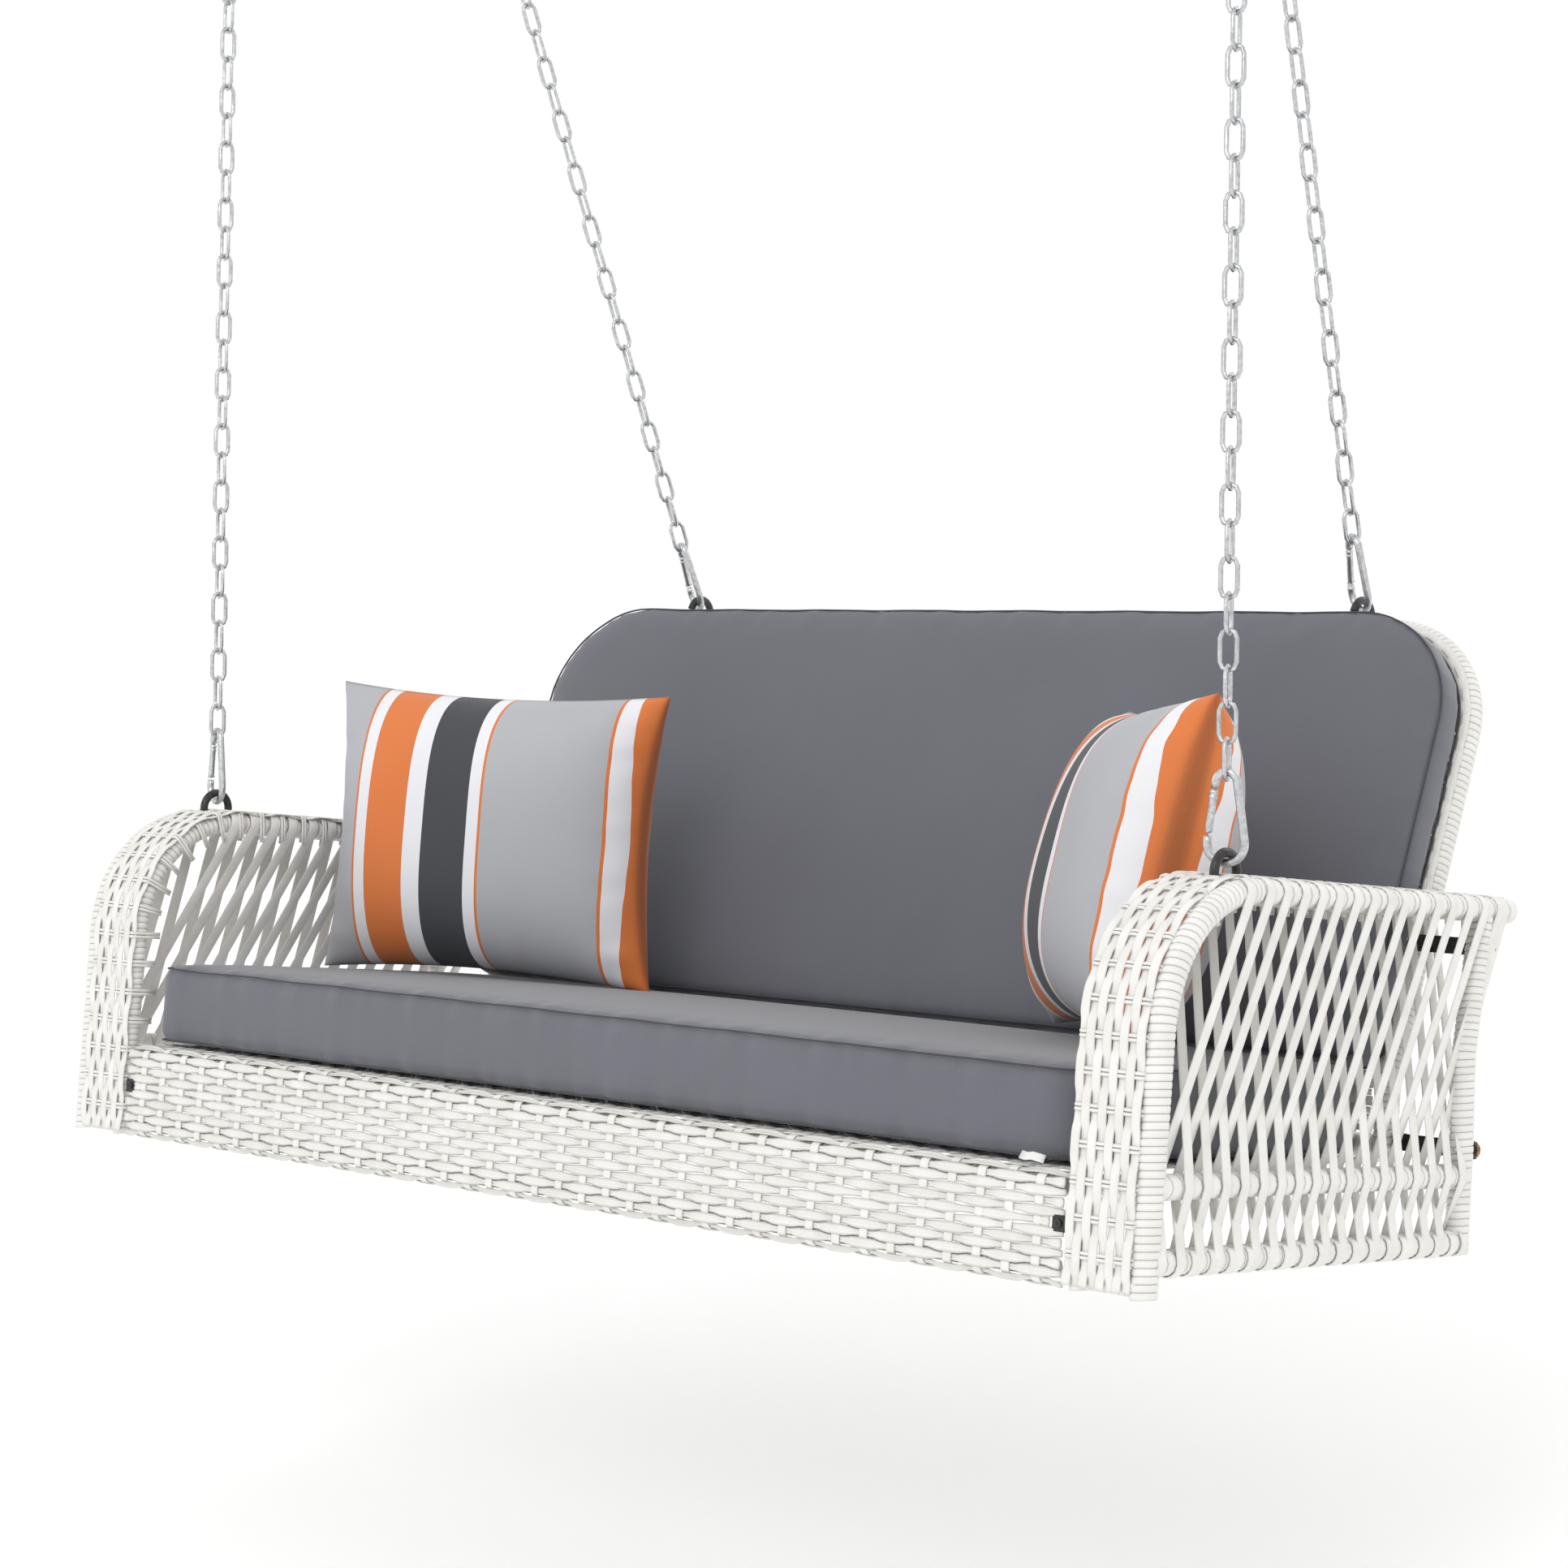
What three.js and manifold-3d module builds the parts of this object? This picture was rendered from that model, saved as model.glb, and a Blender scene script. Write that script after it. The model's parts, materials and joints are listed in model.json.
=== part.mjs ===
// Hanging porch swing seat: a two-seat wicker bench with loose cushions, hung on four chains
// from two ceiling plates. Millimetres, +Z up, +X to the sitter's left, -Y towards the front.
// The origin lies on the ceiling, midway between the two ceiling plates.
import * as THREE from 'three';
import * as BufferGeometryUtils from 'three/addons/utils/BufferGeometryUtils.js';
import Module from 'manifold-3d';

const wasm = await Module();
wasm.setup();

// ---------------------------------------------------------------- driving dimensions
// The bench is drawn level, standing with its front plane at y = 0 and its lowest edge at z = 0.
const GAP = 0.4; // clearance left between pieces that touch
const HOOK_PLAY = 0.8; // clearance where a link hangs on a bow
const WIDTH = 1320; // over both arms
const ARM_WIDTH = 82; // woven band of an arm, over its two edge tubes
const ARM_TOP = 330;
const ARM_BACK = 550;
const CORNER_RADIUS = 128; // outside of the front corner of an arm
const TUBE_RADIUS = 11; // steel tube with its wicker wrapping
const MID_RAIL_Z = 86;
const BOTTOM_RAIL_Z = 28;
const APRON_HEIGHT = 91;
const APRON_THICKNESS = 24;

const SEAT_BACK = 470; // rear face of the seat cushion
const SEAT_CUSHION = { halfWidth: 573, front: 12, bottom: 95, thickness: 78, corner: 45 };

const BACK_RAKE = THREE.MathUtils.degToRad(17.7); // lean of the back from upright
const BACK_FOOT = { y: 441, z: 170 }; // where the front of the back cushion meets the seat
const BACK_CUSHION = { halfWidth: 571, bottom: 17, top: 447, thickness: 42, corner: 112 };
const BACK_FRAME_DEPTH = 54; // from the front of the back cushion to the middle of the back tube
const BACK_FRAME_TOP = 442; // middle of the top tube, measured up the raked back
const BACK_FRAME_HALF_WIDTH = 566;
const BACK_BEND = 12; // the back legs are upright below this point on the raked back

const PILLOW = { width: 370, height: 300, thickness: 150, corner: 30 };

const PIVOT = { y: -9, z: 1930 }; // line that the swing turns about, seen from the level bench
const PIVOT_DROP = 48; // from the ceiling down to that line
const BENCH_TILT = THREE.MathUtils.degToRad(-11.203); // lean at which the swing hangs at rest

const EYE_WIRE = 4; // radii
const EYE_BOW = 16; // middle of the rod of an eye loop
const EYE_FRONT = { x: 621, y: 126 };
const EYE_REAR_X = 424;
const HANGER_FRONT_X = 606;
const HANGER_REAR_X = 515;

const CHAIN_WIRE = 2; // radius
const CHAIN_PITCH = 29;
const LINK_WIDTH = 18;
const CHAIN_WEB = 1.2; // thickness of the two crossed webs that stand for the links in between

const CARABINER = { length: 80, bottomWidth: 38, topWidth: 25, wire: 3.5 };
const GATE_PIN_AT = 25; // height of the gate's pin above the bottom of the bow
const GATE_NOSE_AT = 60;
const GATE_PLAY = 1.1; // below the gate's foot, so that it can swing in
const FRONT_CARABINER_TURN = THREE.MathUtils.degToRad(73); // turn of its plane from fore-and-aft
const REAR_CARABINER_TURN = THREE.MathUtils.degToRad(-58);

const BOLT_SHANK = 3; // radius
const BOLT_HEAD = 8.5;

// ---------------------------------------------------------------- materials
function finish(color, roughness, metalness) {
  return new THREE.MeshStandardMaterial({ color, roughness, metalness });
}
const materials = {
  wicker: finish(0xecebe6, 0.5, 0),
  frame: finish(0xe4e2dc, 0.45, 0.3),
  black: finish(0x141414, 0.4, 0.5),
  zinc: finish(0xb8bbbd, 0.3, 1),
  bolt: finish(0x9a6b48, 0.35, 1),
  cushion: finish(0x6c6e78, 0.9, 0),
  pillow: finish(0xb4b5ba, 0.9, 0),
};

// ---------------------------------------------------------------- solids
/** A three.js geometry as a manifold solid, its faces turned outwards. */
function solid(geometry) {
  const bare = geometry.clone();
  for (const name of ['normal', 'uv']) bare.deleteAttribute(name);
  const merged = BufferGeometryUtils.mergeVertices(bare, 1e-4);
  const points = merged.attributes.position;
  const triangles = Uint32Array.from(merged.index.array);
  const [a, b, c] = [new THREE.Vector3(), new THREE.Vector3(), new THREE.Vector3()];
  let volume = 0;
  for (let i = 0; i < triangles.length; i += 3) {
    a.fromBufferAttribute(points, triangles[i]);
    b.fromBufferAttribute(points, triangles[i + 1]);
    c.fromBufferAttribute(points, triangles[i + 2]);
    volume += a.dot(b.cross(c));
  }
  if (volume < 0) triangles.reverse();
  const mesh = { numProp: 3, vertProperties: Float32Array.from(points.array), triVerts: triangles };
  return new wasm.Manifold(new wasm.Mesh(mesh));
}

/** A manifold solid back as a three.js geometry. */
function geometryOf(body) {
  const mesh = body.getMesh();
  const geometry = new THREE.BufferGeometry();
  geometry.setAttribute('position', new THREE.BufferAttribute(Float32Array.from(mesh.vertProperties), 3));
  geometry.setIndex(new THREE.BufferAttribute(Uint32Array.from(mesh.triVerts), 1));
  geometry.computeVertexNormals();
  return geometry;
}

const union = (...bodies) => bodies.reduce((all, body) => all.add(body));

const v = (x, y, z) => new THREE.Vector3(x, y, z);

/** A box between two corners. */
function block(low, high) {
  const size = new THREE.Vector3().subVectors(high, low);
  const middle = new THREE.Vector3().addVectors(low, high).multiplyScalar(0.5);
  return solid(new THREE.BoxGeometry(size.x, size.y, size.z).translate(middle.x, middle.y, middle.z));
}

/** A line of straight runs through the corners, each corner rounded to its radius. */
function roundedLine(corners, radius, steps = 5) {
  const line = [corners[0]];
  for (let i = 1; i < corners.length - 1; i += 1) {
    const into = new THREE.Vector3().subVectors(corners[i], corners[i - 1]).normalize();
    const out = new THREE.Vector3().subVectors(corners[i + 1], corners[i]).normalize();
    const turn = into.angleTo(out);
    const reach = radius * Math.tan(turn / 2);
    const start = corners[i].clone().addScaledVector(into, -reach);
    const side = out.clone().addScaledVector(into, -out.dot(into)).normalize();
    for (let k = 0; k <= steps; k += 1) {
      const angle = (turn * k) / steps;
      const along = radius * Math.sin(angle);
      const across = radius * (1 - Math.cos(angle));
      line.push(start.clone().addScaledVector(into, along).addScaledVector(side, across));
    }
  }
  line.push(corners.at(-1));
  return line;
}

/** A path with one section at each of its points, so that straight runs cost no extra faces. */
class PointPath extends THREE.Curve {
  constructor(points) {
    super();
    this.points = points;
  }

  getPoint(t) {
    const place = t * (this.points.length - 1);
    const index = Math.min(Math.floor(place), this.points.length - 2);
    return this.points[index].clone().lerp(this.points[index + 1], place - index);
  }

  getPointAt(t) {
    return this.getPoint(t);
  }

  getSpacedPoints() {
    return this.points;
  }

  getTangentAt(t) {
    const index = Math.round(t * (this.points.length - 1));
    const before = this.points[Math.max(index - 1, 0)];
    const here = this.points[index];
    const after = this.points[Math.min(index + 1, this.points.length - 1)];
    const into = new THREE.Vector3().subVectors(here, before).normalize();
    const out = new THREE.Vector3().subVectors(after, here).normalize();
    return into.add(out).normalize();
  }
}

/** A round rod carried along a line of points. */
function rod(points, radius, sides = 8) {
  const section = new THREE.Shape();
  for (let k = 0; k < sides; k += 1) {
    const angle = ((k + 0.5) * 2 * Math.PI) / sides;
    const place = [radius * Math.cos(angle), radius * Math.sin(angle)];
    if (k === 0) section.moveTo(...place);
    else section.lineTo(...place);
  }
  section.closePath();
  const options = { steps: points.length - 1, extrudePath: new PointPath(points), bevelEnabled: false };
  return solid(new THREE.ExtrudeGeometry(section, options));
}

/** A closed outline in (x, y) with the given corners rounded. */
function roundedOutline(left, bottom, right, top, topRadius, bottomRadius = topRadius) {
  const shape = new THREE.Shape();
  shape.moveTo(left + bottomRadius, bottom);
  shape.lineTo(right - bottomRadius, bottom);
  shape.absarc(right - bottomRadius, bottom + bottomRadius, bottomRadius, -Math.PI / 2, 0);
  shape.lineTo(right, top - topRadius);
  shape.absarc(right - topRadius, top - topRadius, topRadius, 0, Math.PI / 2);
  shape.lineTo(left + topRadius, top);
  shape.absarc(left + topRadius, top - topRadius, topRadius, Math.PI / 2, Math.PI);
  shape.lineTo(left, bottom + bottomRadius);
  shape.absarc(left + bottomRadius, bottom + bottomRadius, bottomRadius, Math.PI, Math.PI * 1.5);
  return shape;
}

/** A flat plate of the given outline, pushed from z = 0 to its depth. */
function plate(outline, depth, curveSegments = 5) {
  return new THREE.ExtrudeGeometry(outline, { depth, bevelEnabled: false, curveSegments });
}

/** An outline drawn in (y, z), pushed along X from one side to the other. */
function acrossX(points, fromX, toX) {
  const outline = new THREE.Shape(points.map(([y, z]) => new THREE.Vector2(y, z)));
  const body = plate(outline, toX - fromX);
  body.applyMatrix4(new THREE.Matrix4().makeBasis(v(0, 1, 0), v(0, 0, 1), v(1, 0, 0)));
  return solid(body.translate(fromX, 0, 0));
}

// ---------------------------------------------------------------- scene graph
// swing turns about the pivot line; bench carries the level bench inside it.
const porchSwing = new THREE.Group();
const swing = new THREE.Group();
swing.position.z = -PIVOT_DROP;
swing.rotation.x = BENCH_TILT;
const bench = new THREE.Group();
bench.position.set(0, -PIVOT.y, -PIVOT.z);
swing.add(bench);
porchSwing.add(swing);

function add(parent, name, shape, material) {
  const geometry = shape.isBufferGeometry ? shape : geometryOf(shape);
  const mesh = new THREE.Mesh(geometry, materials[material]);
  mesh.name = name;
  parent.add(mesh);
  return mesh;
}

const SIDES = [['left', 1], ['right', -1]]; // the sitter's left is +X

// ---------------------------------------------------------------- places shared by the pieces
const outerTubeX = WIDTH / 2 - TUBE_RADIUS;
const innerTubeX = WIDTH / 2 - ARM_WIDTH + TUBE_RADIUS;
const armTubeZ = ARM_TOP - TUBE_RADIUS;
const postY = TUBE_RADIUS;

/** A point on the raked back: up the back from its foot, and in from the front of the cushion. */
function onBack(up, depth) {
  return {
    y: BACK_FOOT.y + up * Math.sin(BACK_RAKE) + depth * Math.cos(BACK_RAKE),
    z: BACK_FOOT.z + up * Math.cos(BACK_RAKE) - depth * Math.sin(BACK_RAKE),
  };
}

const rearPost = [[487, BOTTOM_RAIL_Z - TUBE_RADIUS], [484, 110], [478, 190], [489, 285], [493, armTubeZ]];
const backBend = onBack(BACK_BEND, BACK_FRAME_DEPTH);
const backTop = onBack(BACK_FRAME_TOP, BACK_FRAME_DEPTH);
/** The middle of the back's side tube at a given height. */
function backTubeY(z) {
  return backBend.y + Math.max(z - backBend.z, 0) * Math.tan(BACK_RAKE);
}

const boltX = outerTubeX;
const backBolts = { upper: { y: 489, z: 285 }, lower: { y: 484, z: 108 } };
const LUG = { height: 15, thickness: 4, end: 655 };

// ---------------------------------------------------------------- arm frames
/** The welded tubes of one arm, drawn for the +X side. */
function armFrame(side) {
  const at = (x, y, z) => v(side * x, y, z);
  const hoop = (x) => {
    const corners = [at(x, postY, 0.5), at(x, postY, armTubeZ), at(x, ARM_BACK - TUBE_RADIUS, armTubeZ)];
    return rod(roundedLine(corners, CORNER_RADIUS - TUBE_RADIUS, 7), TUBE_RADIUS);
  };
  const tie = (y, z) => rod([at(innerTubeX, y, z), at(outerTubeX, y, z)], TUBE_RADIUS - 1);
  const rail = (z) => rod([at(outerTubeX, postY, z), at(outerTubeX, 487, z)], TUBE_RADIUS - 0.5);
  const post = rod(rearPost.map(([y, z]) => at(outerTubeX, y, z)), TUBE_RADIUS - 0.5);
  const footTie = tie(postY, TUBE_RADIUS);
  const backTie = tie(ARM_BACK - TUBE_RADIUS, armTubeZ);
  const eyeBar = block(
    v(side > 0 ? innerTubeX : -outerTubeX, EYE_FRONT.y - 26, armTubeZ - 9),
    v(side > 0 ? outerTubeX : -innerTubeX, EYE_FRONT.y + 26, armTubeZ - 4),
  );
  let frame = union(hoop(outerTubeX), hoop(innerTubeX), footTie, backTie, eyeBar, rail(MID_RAIL_Z));
  frame = union(frame, rail(BOTTOM_RAIL_Z), post);
  for (const { y, z } of Object.values(backBolts)) {
    frame = frame.subtract(rod([at(boltX, y - 30, z), at(boltX, y + 30, z)], BOLT_SHANK + GAP));
  }
  return frame;
}

// ---------------------------------------------------------------- woven bands of the arms
/** The woven sheet between the two edge tubes, from the foot of the post over to the arm's end. */
function armWeave(side) {
  const inset = 5;
  const thickness = 4;
  const skin = (depth) => {
    const corners = [v(0, depth, 23), v(0, depth, ARM_TOP - depth), v(0, 527, ARM_TOP - depth)];
    return roundedLine(corners, CORNER_RADIUS - depth, 8);
  };
  const edge = [...skin(inset), ...skin(inset + thickness).reverse()].map(({ y, z }) => [y, z]);
  const from = innerTubeX + TUBE_RADIUS + GAP;
  const to = outerTubeX - TUBE_RADIUS - GAP;
  let sheet = acrossX(edge, side > 0 ? from : -to, side > 0 ? to : -from);
  for (const offset of [-EYE_BOW, EYE_BOW]) {
    const y = EYE_FRONT.y + offset;
    const hole = [v(side * EYE_FRONT.x, y, ARM_TOP - 30), v(side * EYE_FRONT.x, y, ARM_TOP + 10)];
    sheet = sheet.subtract(rod(hole, EYE_WIRE + 1));
  }
  return sheet;
}

// ---------------------------------------------------------------- lattices
const LATTICE = { pitch: 26.5, strip: 8, thickness: 1.6, lean: 34, front: 40, back: 470 };

/** Crossing flat strips between the arm tube and the bottom rail, trimmed to the arm's corner. */
function sideLattice(side) {
  const { pitch, strip, thickness, lean, front, back } = LATTICE;
  const near = side * (outerTubeX - 16);
  const [from, to] = side > 0 ? [near, near + thickness] : [near - thickness, near];
  const foot = BOTTOM_RAIL_Z + 12;
  const top = armTubeZ - TUBE_RADIUS - GAP;
  const pieces = [];
  const slat = (fromY, toY) => {
    const half = strip / 2;
    const outline = [[fromY - half, foot], [fromY + half, foot], [toY + half, top], [toY - half, top]];
    pieces.push(acrossX(outline, from, to));
  };
  for (let y = front; y <= back - lean; y += pitch) {
    slat(y, y + lean);
    slat(y + lean, y);
  }
  const [start, end, hem] = [front - 6, back + 6, 5];
  for (const z of [foot, top - hem]) {
    pieces.push(acrossX([[start, z], [end, z], [end, z + hem], [start, z + hem]], from, to));
  }
  const inside = CORNER_RADIUS - 2 * TUBE_RADIUS - 1;
  const window = roundedOutline(CORNER_RADIUS - inside, foot - 5, back + 60, top, inside, 1);
  const place = new THREE.Matrix4().makeBasis(v(0, 1, 0), v(0, 0, 1), v(1, 0, 0));
  const opening = solid(plate(window, 4 * thickness).applyMatrix4(place).translate(from - 1, 0, 0));
  return union(...pieces).intersect(opening);
}

// ---------------------------------------------------------------- seat frame, apron and deck
const SEAT_RAIL_RADIUS = 8;
const SEAT_RAIL_Z = 79;
const APRON_HALF = 576;

function seatFrame() {
  const x = APRON_HALF - SEAT_RAIL_RADIUS - 3;
  const front = APRON_THICKNESS / 2;
  const lower = 14;
  const tube = (a, b) => rod([a, b], SEAT_RAIL_RADIUS);
  const rear = 470;
  const parts = [
    tube(v(-x, front, SEAT_RAIL_Z), v(x, front, SEAT_RAIL_Z)),
    tube(v(-x, front, lower), v(x, front, lower)),
    tube(v(-x, rear, SEAT_RAIL_Z - 8), v(x, rear, SEAT_RAIL_Z - 8)),
  ];
  for (const crossX of [-x, -x / 3, x / 3, x]) {
    parts.push(tube(v(crossX, front, SEAT_RAIL_Z), v(crossX, rear, SEAT_RAIL_Z - 8)));
  }
  for (const endX of [-x, x]) parts.push(tube(v(endX, front, lower), v(endX, front, SEAT_RAIL_Z)));
  return union(...parts);
}

const BRACKET = { width: 11, z: 50, height: 13 };

/** A woven sleeve, open at both ends and along its back, round the front tubes. */
function apronWeave() {
  const wall = 3;
  const outer = roundedOutline(0, 0, APRON_THICKNESS, APRON_HEIGHT, 10);
  const inner = roundedOutline(wall, wall, APRON_THICKNESS + 20, APRON_HEIGHT - wall, 7);
  const place = new THREE.Matrix4().makeBasis(v(0, 1, 0), v(0, 0, 1), v(1, 0, 0));
  const across = (outline, half) => solid(plate(outline, 2 * half).applyMatrix4(place).translate(-half, 0, 0));
  let sleeve = across(outer, APRON_HALF).subtract(across(inner, APRON_HALF + 5));
  for (const [, side] of SIDES) {
    const near = side * (APRON_HALF - BRACKET.width - GAP);
    const far = side * (APRON_HALF + 5);
    const low = v(Math.min(near, far), -5, BRACKET.z - BRACKET.height / 2 - GAP);
    const high = v(Math.max(near, far), 8, BRACKET.z + BRACKET.height / 2 + GAP);
    sleeve = sleeve.subtract(block(low, high));
  }
  return sleeve;
}

function seatDeck() {
  return block(v(-APRON_HALF + 1, APRON_THICKNESS + 1, 89), v(APRON_HALF - 1, 478, 92));
}

/** The black tab that ties the end of the apron to the arm's post, with its screw. */
function apronBracket(side) {
  const near = side * (APRON_HALF - BRACKET.width);
  const far = side * (APRON_HALF + 1);
  const low = v(Math.min(near, far), 1.2, BRACKET.z - BRACKET.height / 2);
  const high = v(Math.max(near, far), 2.8, BRACKET.z + BRACKET.height / 2);
  const middle = (near + far) / 2;
  return block(low, high).subtract(rod([v(middle, -5, BRACKET.z), v(middle, 8, BRACKET.z)], 2.2));
}

function apronScrew(side) {
  const middle = side * (APRON_HALF - BRACKET.width / 2 + 0.5);
  const profile = [[0, 0], [3.6, 0], [3.2, 1], [1.8, 1.8], [0, 2]];
  const head = new THREE.LatheGeometry(profile.map(([r, h]) => new THREE.Vector2(r, h)), 8);
  head.rotateX(Math.PI).translate(0, 0.9, 0);
  const shank = rod([v(0, 0.4, 0), v(0, 3.2, 0)], 1.7);
  return geometryOf(union(solid(head), shank)).translate(middle, 0, BRACKET.z);
}

// ---------------------------------------------------------------- back
function backFrame() {
  const half = BACK_FRAME_HALF_WIDTH;
  const corner = BACK_CUSHION.corner - 8;
  const corners = [
    v(-half, backBend.y, backBend.z),
    v(-half, backTop.y, backTop.z),
    v(half, backTop.y, backTop.z),
    v(half, backBend.y, backBend.z),
  ];
  const hoop = rod(roundedLine(corners, corner, 6), TUBE_RADIUS);
  const foot = 98;
  const leg = (side) => {
    const x = side * half;
    return rod([v(x, backBend.y, foot), v(x, backBend.y, backBend.z + 4)], TUBE_RADIUS);
  };
  const bottom = rod([v(-half, backBend.y, foot + 3), v(half, backBend.y, foot + 3)], TUBE_RADIUS);
  const middle = onBack(BACK_FRAME_TOP / 2, BACK_FRAME_DEPTH + 4);
  const brace = rod([v(-half, middle.y, middle.z), v(half, middle.y, middle.z)], SEAT_RAIL_RADIUS);
  return union(hoop, leg(-1), leg(1), bottom, brace);
}

/** The woven sheet of the back, upright at its foot and raked above, inside the back tube. */
function backWeave() {
  const front = BACK_FRAME_DEPTH - 8;
  const thickness = 3;
  const foot = 113;
  const low = onBack(2, front);
  const high = onBack(BACK_FRAME_TOP - TUBE_RADIUS - 1, front);
  const rear = { y: thickness * Math.cos(BACK_RAKE), z: -thickness * Math.sin(BACK_RAKE) };
  const profile = [
    [low.y, foot], [low.y, low.z], [high.y, high.z],
    [high.y + rear.y, high.z + rear.z], [low.y + thickness, low.z], [low.y + thickness, foot],
  ];
  const half = BACK_FRAME_HALF_WIDTH - TUBE_RADIUS - 1;
  const outline = roundedOutline(-half, foot, half, high.z, BACK_CUSHION.corner - 20, 1);
  const upright = solid(plate(outline, 300).rotateX(Math.PI / 2).translate(0, 700, 0));
  return acrossX(profile, -half, half).intersect(upright);
}

/** The black lug that ties an arm's rear post to the back frame. */
function backLug(side, { y, z }, legY) {
  const front = y + TUBE_RADIUS + GAP;
  const tab = [LUG.end, BACK_FRAME_HALF_WIDTH + TUBE_RADIUS + GAP];
  const box = (xa, xb, ya, yb) => {
    const [near, far] = [side * xa, side * xb].sort((p, q) => p - q);
    return block(v(near, ya, z - LUG.height / 2), v(far, yb, z + LUG.height / 2));
  };
  const lug = union(
    box(tab[0], tab[1], front, front + LUG.thickness),
    box(tab[1] + LUG.thickness, tab[1], Math.min(front, legY - 9), Math.max(front + LUG.thickness, legY + 9)),
  );
  const bore = rod([v(side * boltX, y, z), v(side * boltX, y + 40, z)], BOLT_SHANK + GAP);
  return lug.subtract(bore);
}

/** A dome-headed bolt lying along Y, its head at the rear. */
function backBolt(side, { y, z }) {
  const head = y + TUBE_RADIUS + 2 * GAP + LUG.thickness;
  const profile = [[0, 0], [BOLT_HEAD, 0], [BOLT_HEAD - 1.2, 3], [4.5, 5.4], [0, 6]];
  const dome = new THREE.LatheGeometry(profile.map(([r, h]) => new THREE.Vector2(r, h)), 12);
  const shank = rod([v(0, 1, 0), v(0, -TUBE_RADIUS * 2 - LUG.thickness, 0)], BOLT_SHANK);
  return geometryOf(union(solid(dome), shank)).translate(side * boltX, head, z);
}

// ---------------------------------------------------------------- eye loops on the bench
/** A U-shaped eye loop lying in the YZ plane, its legs let into the tube below. */
function eyeLoop(centre, legDirection, legLength) {
  const along = new THREE.Vector3(0, legDirection.z, -legDirection.y);
  const points = [centre.clone().addScaledVector(along, EYE_BOW).addScaledVector(legDirection, legLength)];
  for (let k = 0; k <= 8; k += 1) {
    const angle = (Math.PI * k) / 8;
    const place = centre.clone().addScaledVector(along, EYE_BOW * Math.cos(angle));
    points.push(place.addScaledVector(legDirection, -EYE_BOW * Math.sin(angle)));
  }
  points.push(centre.clone().addScaledVector(along, -EYE_BOW).addScaledVector(legDirection, legLength));
  return rod(points, EYE_WIRE);
}

// ---------------------------------------------------------------- carabiners and chains
// Each hanging line has its own frame: w runs up from the eye loop to the pivot, u across it.
const carabinerWire = CARABINER.wire;
const bottomBow = CARABINER.bottomWidth / 2 - carabinerWire;
const topBow = CARABINER.topWidth / 2 - carabinerWire;
const topBowAt = CARABINER.length - 2 * carabinerWire - topBow;
const flankLean = Math.asin((bottomBow - topBow) / (topBowAt - bottomBow));

/** The middle of the carabiner's wire on its gate flank, at a given height. */
function gateFlank(w) {
  const rise = w - bottomBow * (1 + Math.sin(flankLean));
  return v(bottomBow * Math.cos(flankLean) - rise * Math.tan(flankLean), 0, w);
}

/** The bent body, drawn in the XZ plane with its gate on the +X side. */
function carabinerBody() {
  const points = [gateFlank(GATE_NOSE_AT)];
  const arc = (centre, radius, from, to, steps) => {
    for (let k = 0; k <= steps; k += 1) {
      const angle = from + ((to - from) * k) / steps;
      points.push(v(radius * Math.cos(angle), 0, centre + radius * Math.sin(angle)));
    }
  };
  arc(topBowAt, topBow, flankLean, Math.PI - flankLean, 4);
  arc(bottomBow, bottomBow, Math.PI - flankLean, 2 * Math.PI + flankLean, 7);
  points.push(gateFlank(GATE_PIN_AT - carabinerWire));
  const tongue = gateFlank(GATE_PIN_AT);
  const half = carabinerWire;
  const tab = block(
    v(tongue.x - half, -1, tongue.z - half - 2),
    v(tongue.x + half, 1, tongue.z + half),
  );
  const bore = rod([v(tongue.x, -9, tongue.z), v(tongue.x, 9, tongue.z)], 1.4);
  return geometryOf(union(rod(points, carabinerWire), tab).subtract(bore));
}

/** The spring gate: a rod forked round the body's tongue, turning on the pin. */
function carabinerGate() {
  const foot = gateFlank(GATE_PIN_AT);
  const tip = gateFlank(GATE_NOSE_AT - GAP);
  const start = gateFlank(GATE_PIN_AT - carabinerWire + GATE_PLAY);
  const slotTop = foot.z + carabinerWire + GAP + 1;
  const slot = block(v(foot.x - 12, -1 - GAP, foot.z - 12), v(foot.x + 12, 1 + GAP, slotTop));
  const bore = rod([v(foot.x, -9, foot.z), v(foot.x, 9, foot.z)], 1.4);
  return geometryOf(rod([start, tip], carabinerWire - 0.4).subtract(slot).subtract(bore));
}

function carabinerPin() {
  const foot = gateFlank(GATE_PIN_AT);
  return geometryOf(rod([v(foot.x, -carabinerWire, foot.z), v(foot.x, carabinerWire, foot.z)], 1));
}

/** One oval link standing up the w axis from the middle of its lower bow, turned about that axis. */
function link(w, pitch, turn) {
  const bow = LINK_WIDTH / 2 - CHAIN_WIRE;
  const length = pitch + 2 * CHAIN_WIRE;
  const points = [];
  const halfTurn = (centre, from) => {
    for (let k = 0; k <= 4; k += 1) {
      const angle = from + (Math.PI * k) / 4;
      points.push(v(bow * Math.cos(angle), 0, centre + bow * Math.sin(angle)));
    }
  };
  halfTurn(w + bow, Math.PI);
  halfTurn(w + length - bow, 0);
  const middle = points.length / 2;
  const first = rod(points.slice(0, middle + 1), CHAIN_WIRE, 6);
  const second = rod([...points.slice(middle), points[0], points[1]], CHAIN_WIRE, 6);
  return solid(geometryOf(first.add(second)).rotateZ(turn));
}

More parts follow.
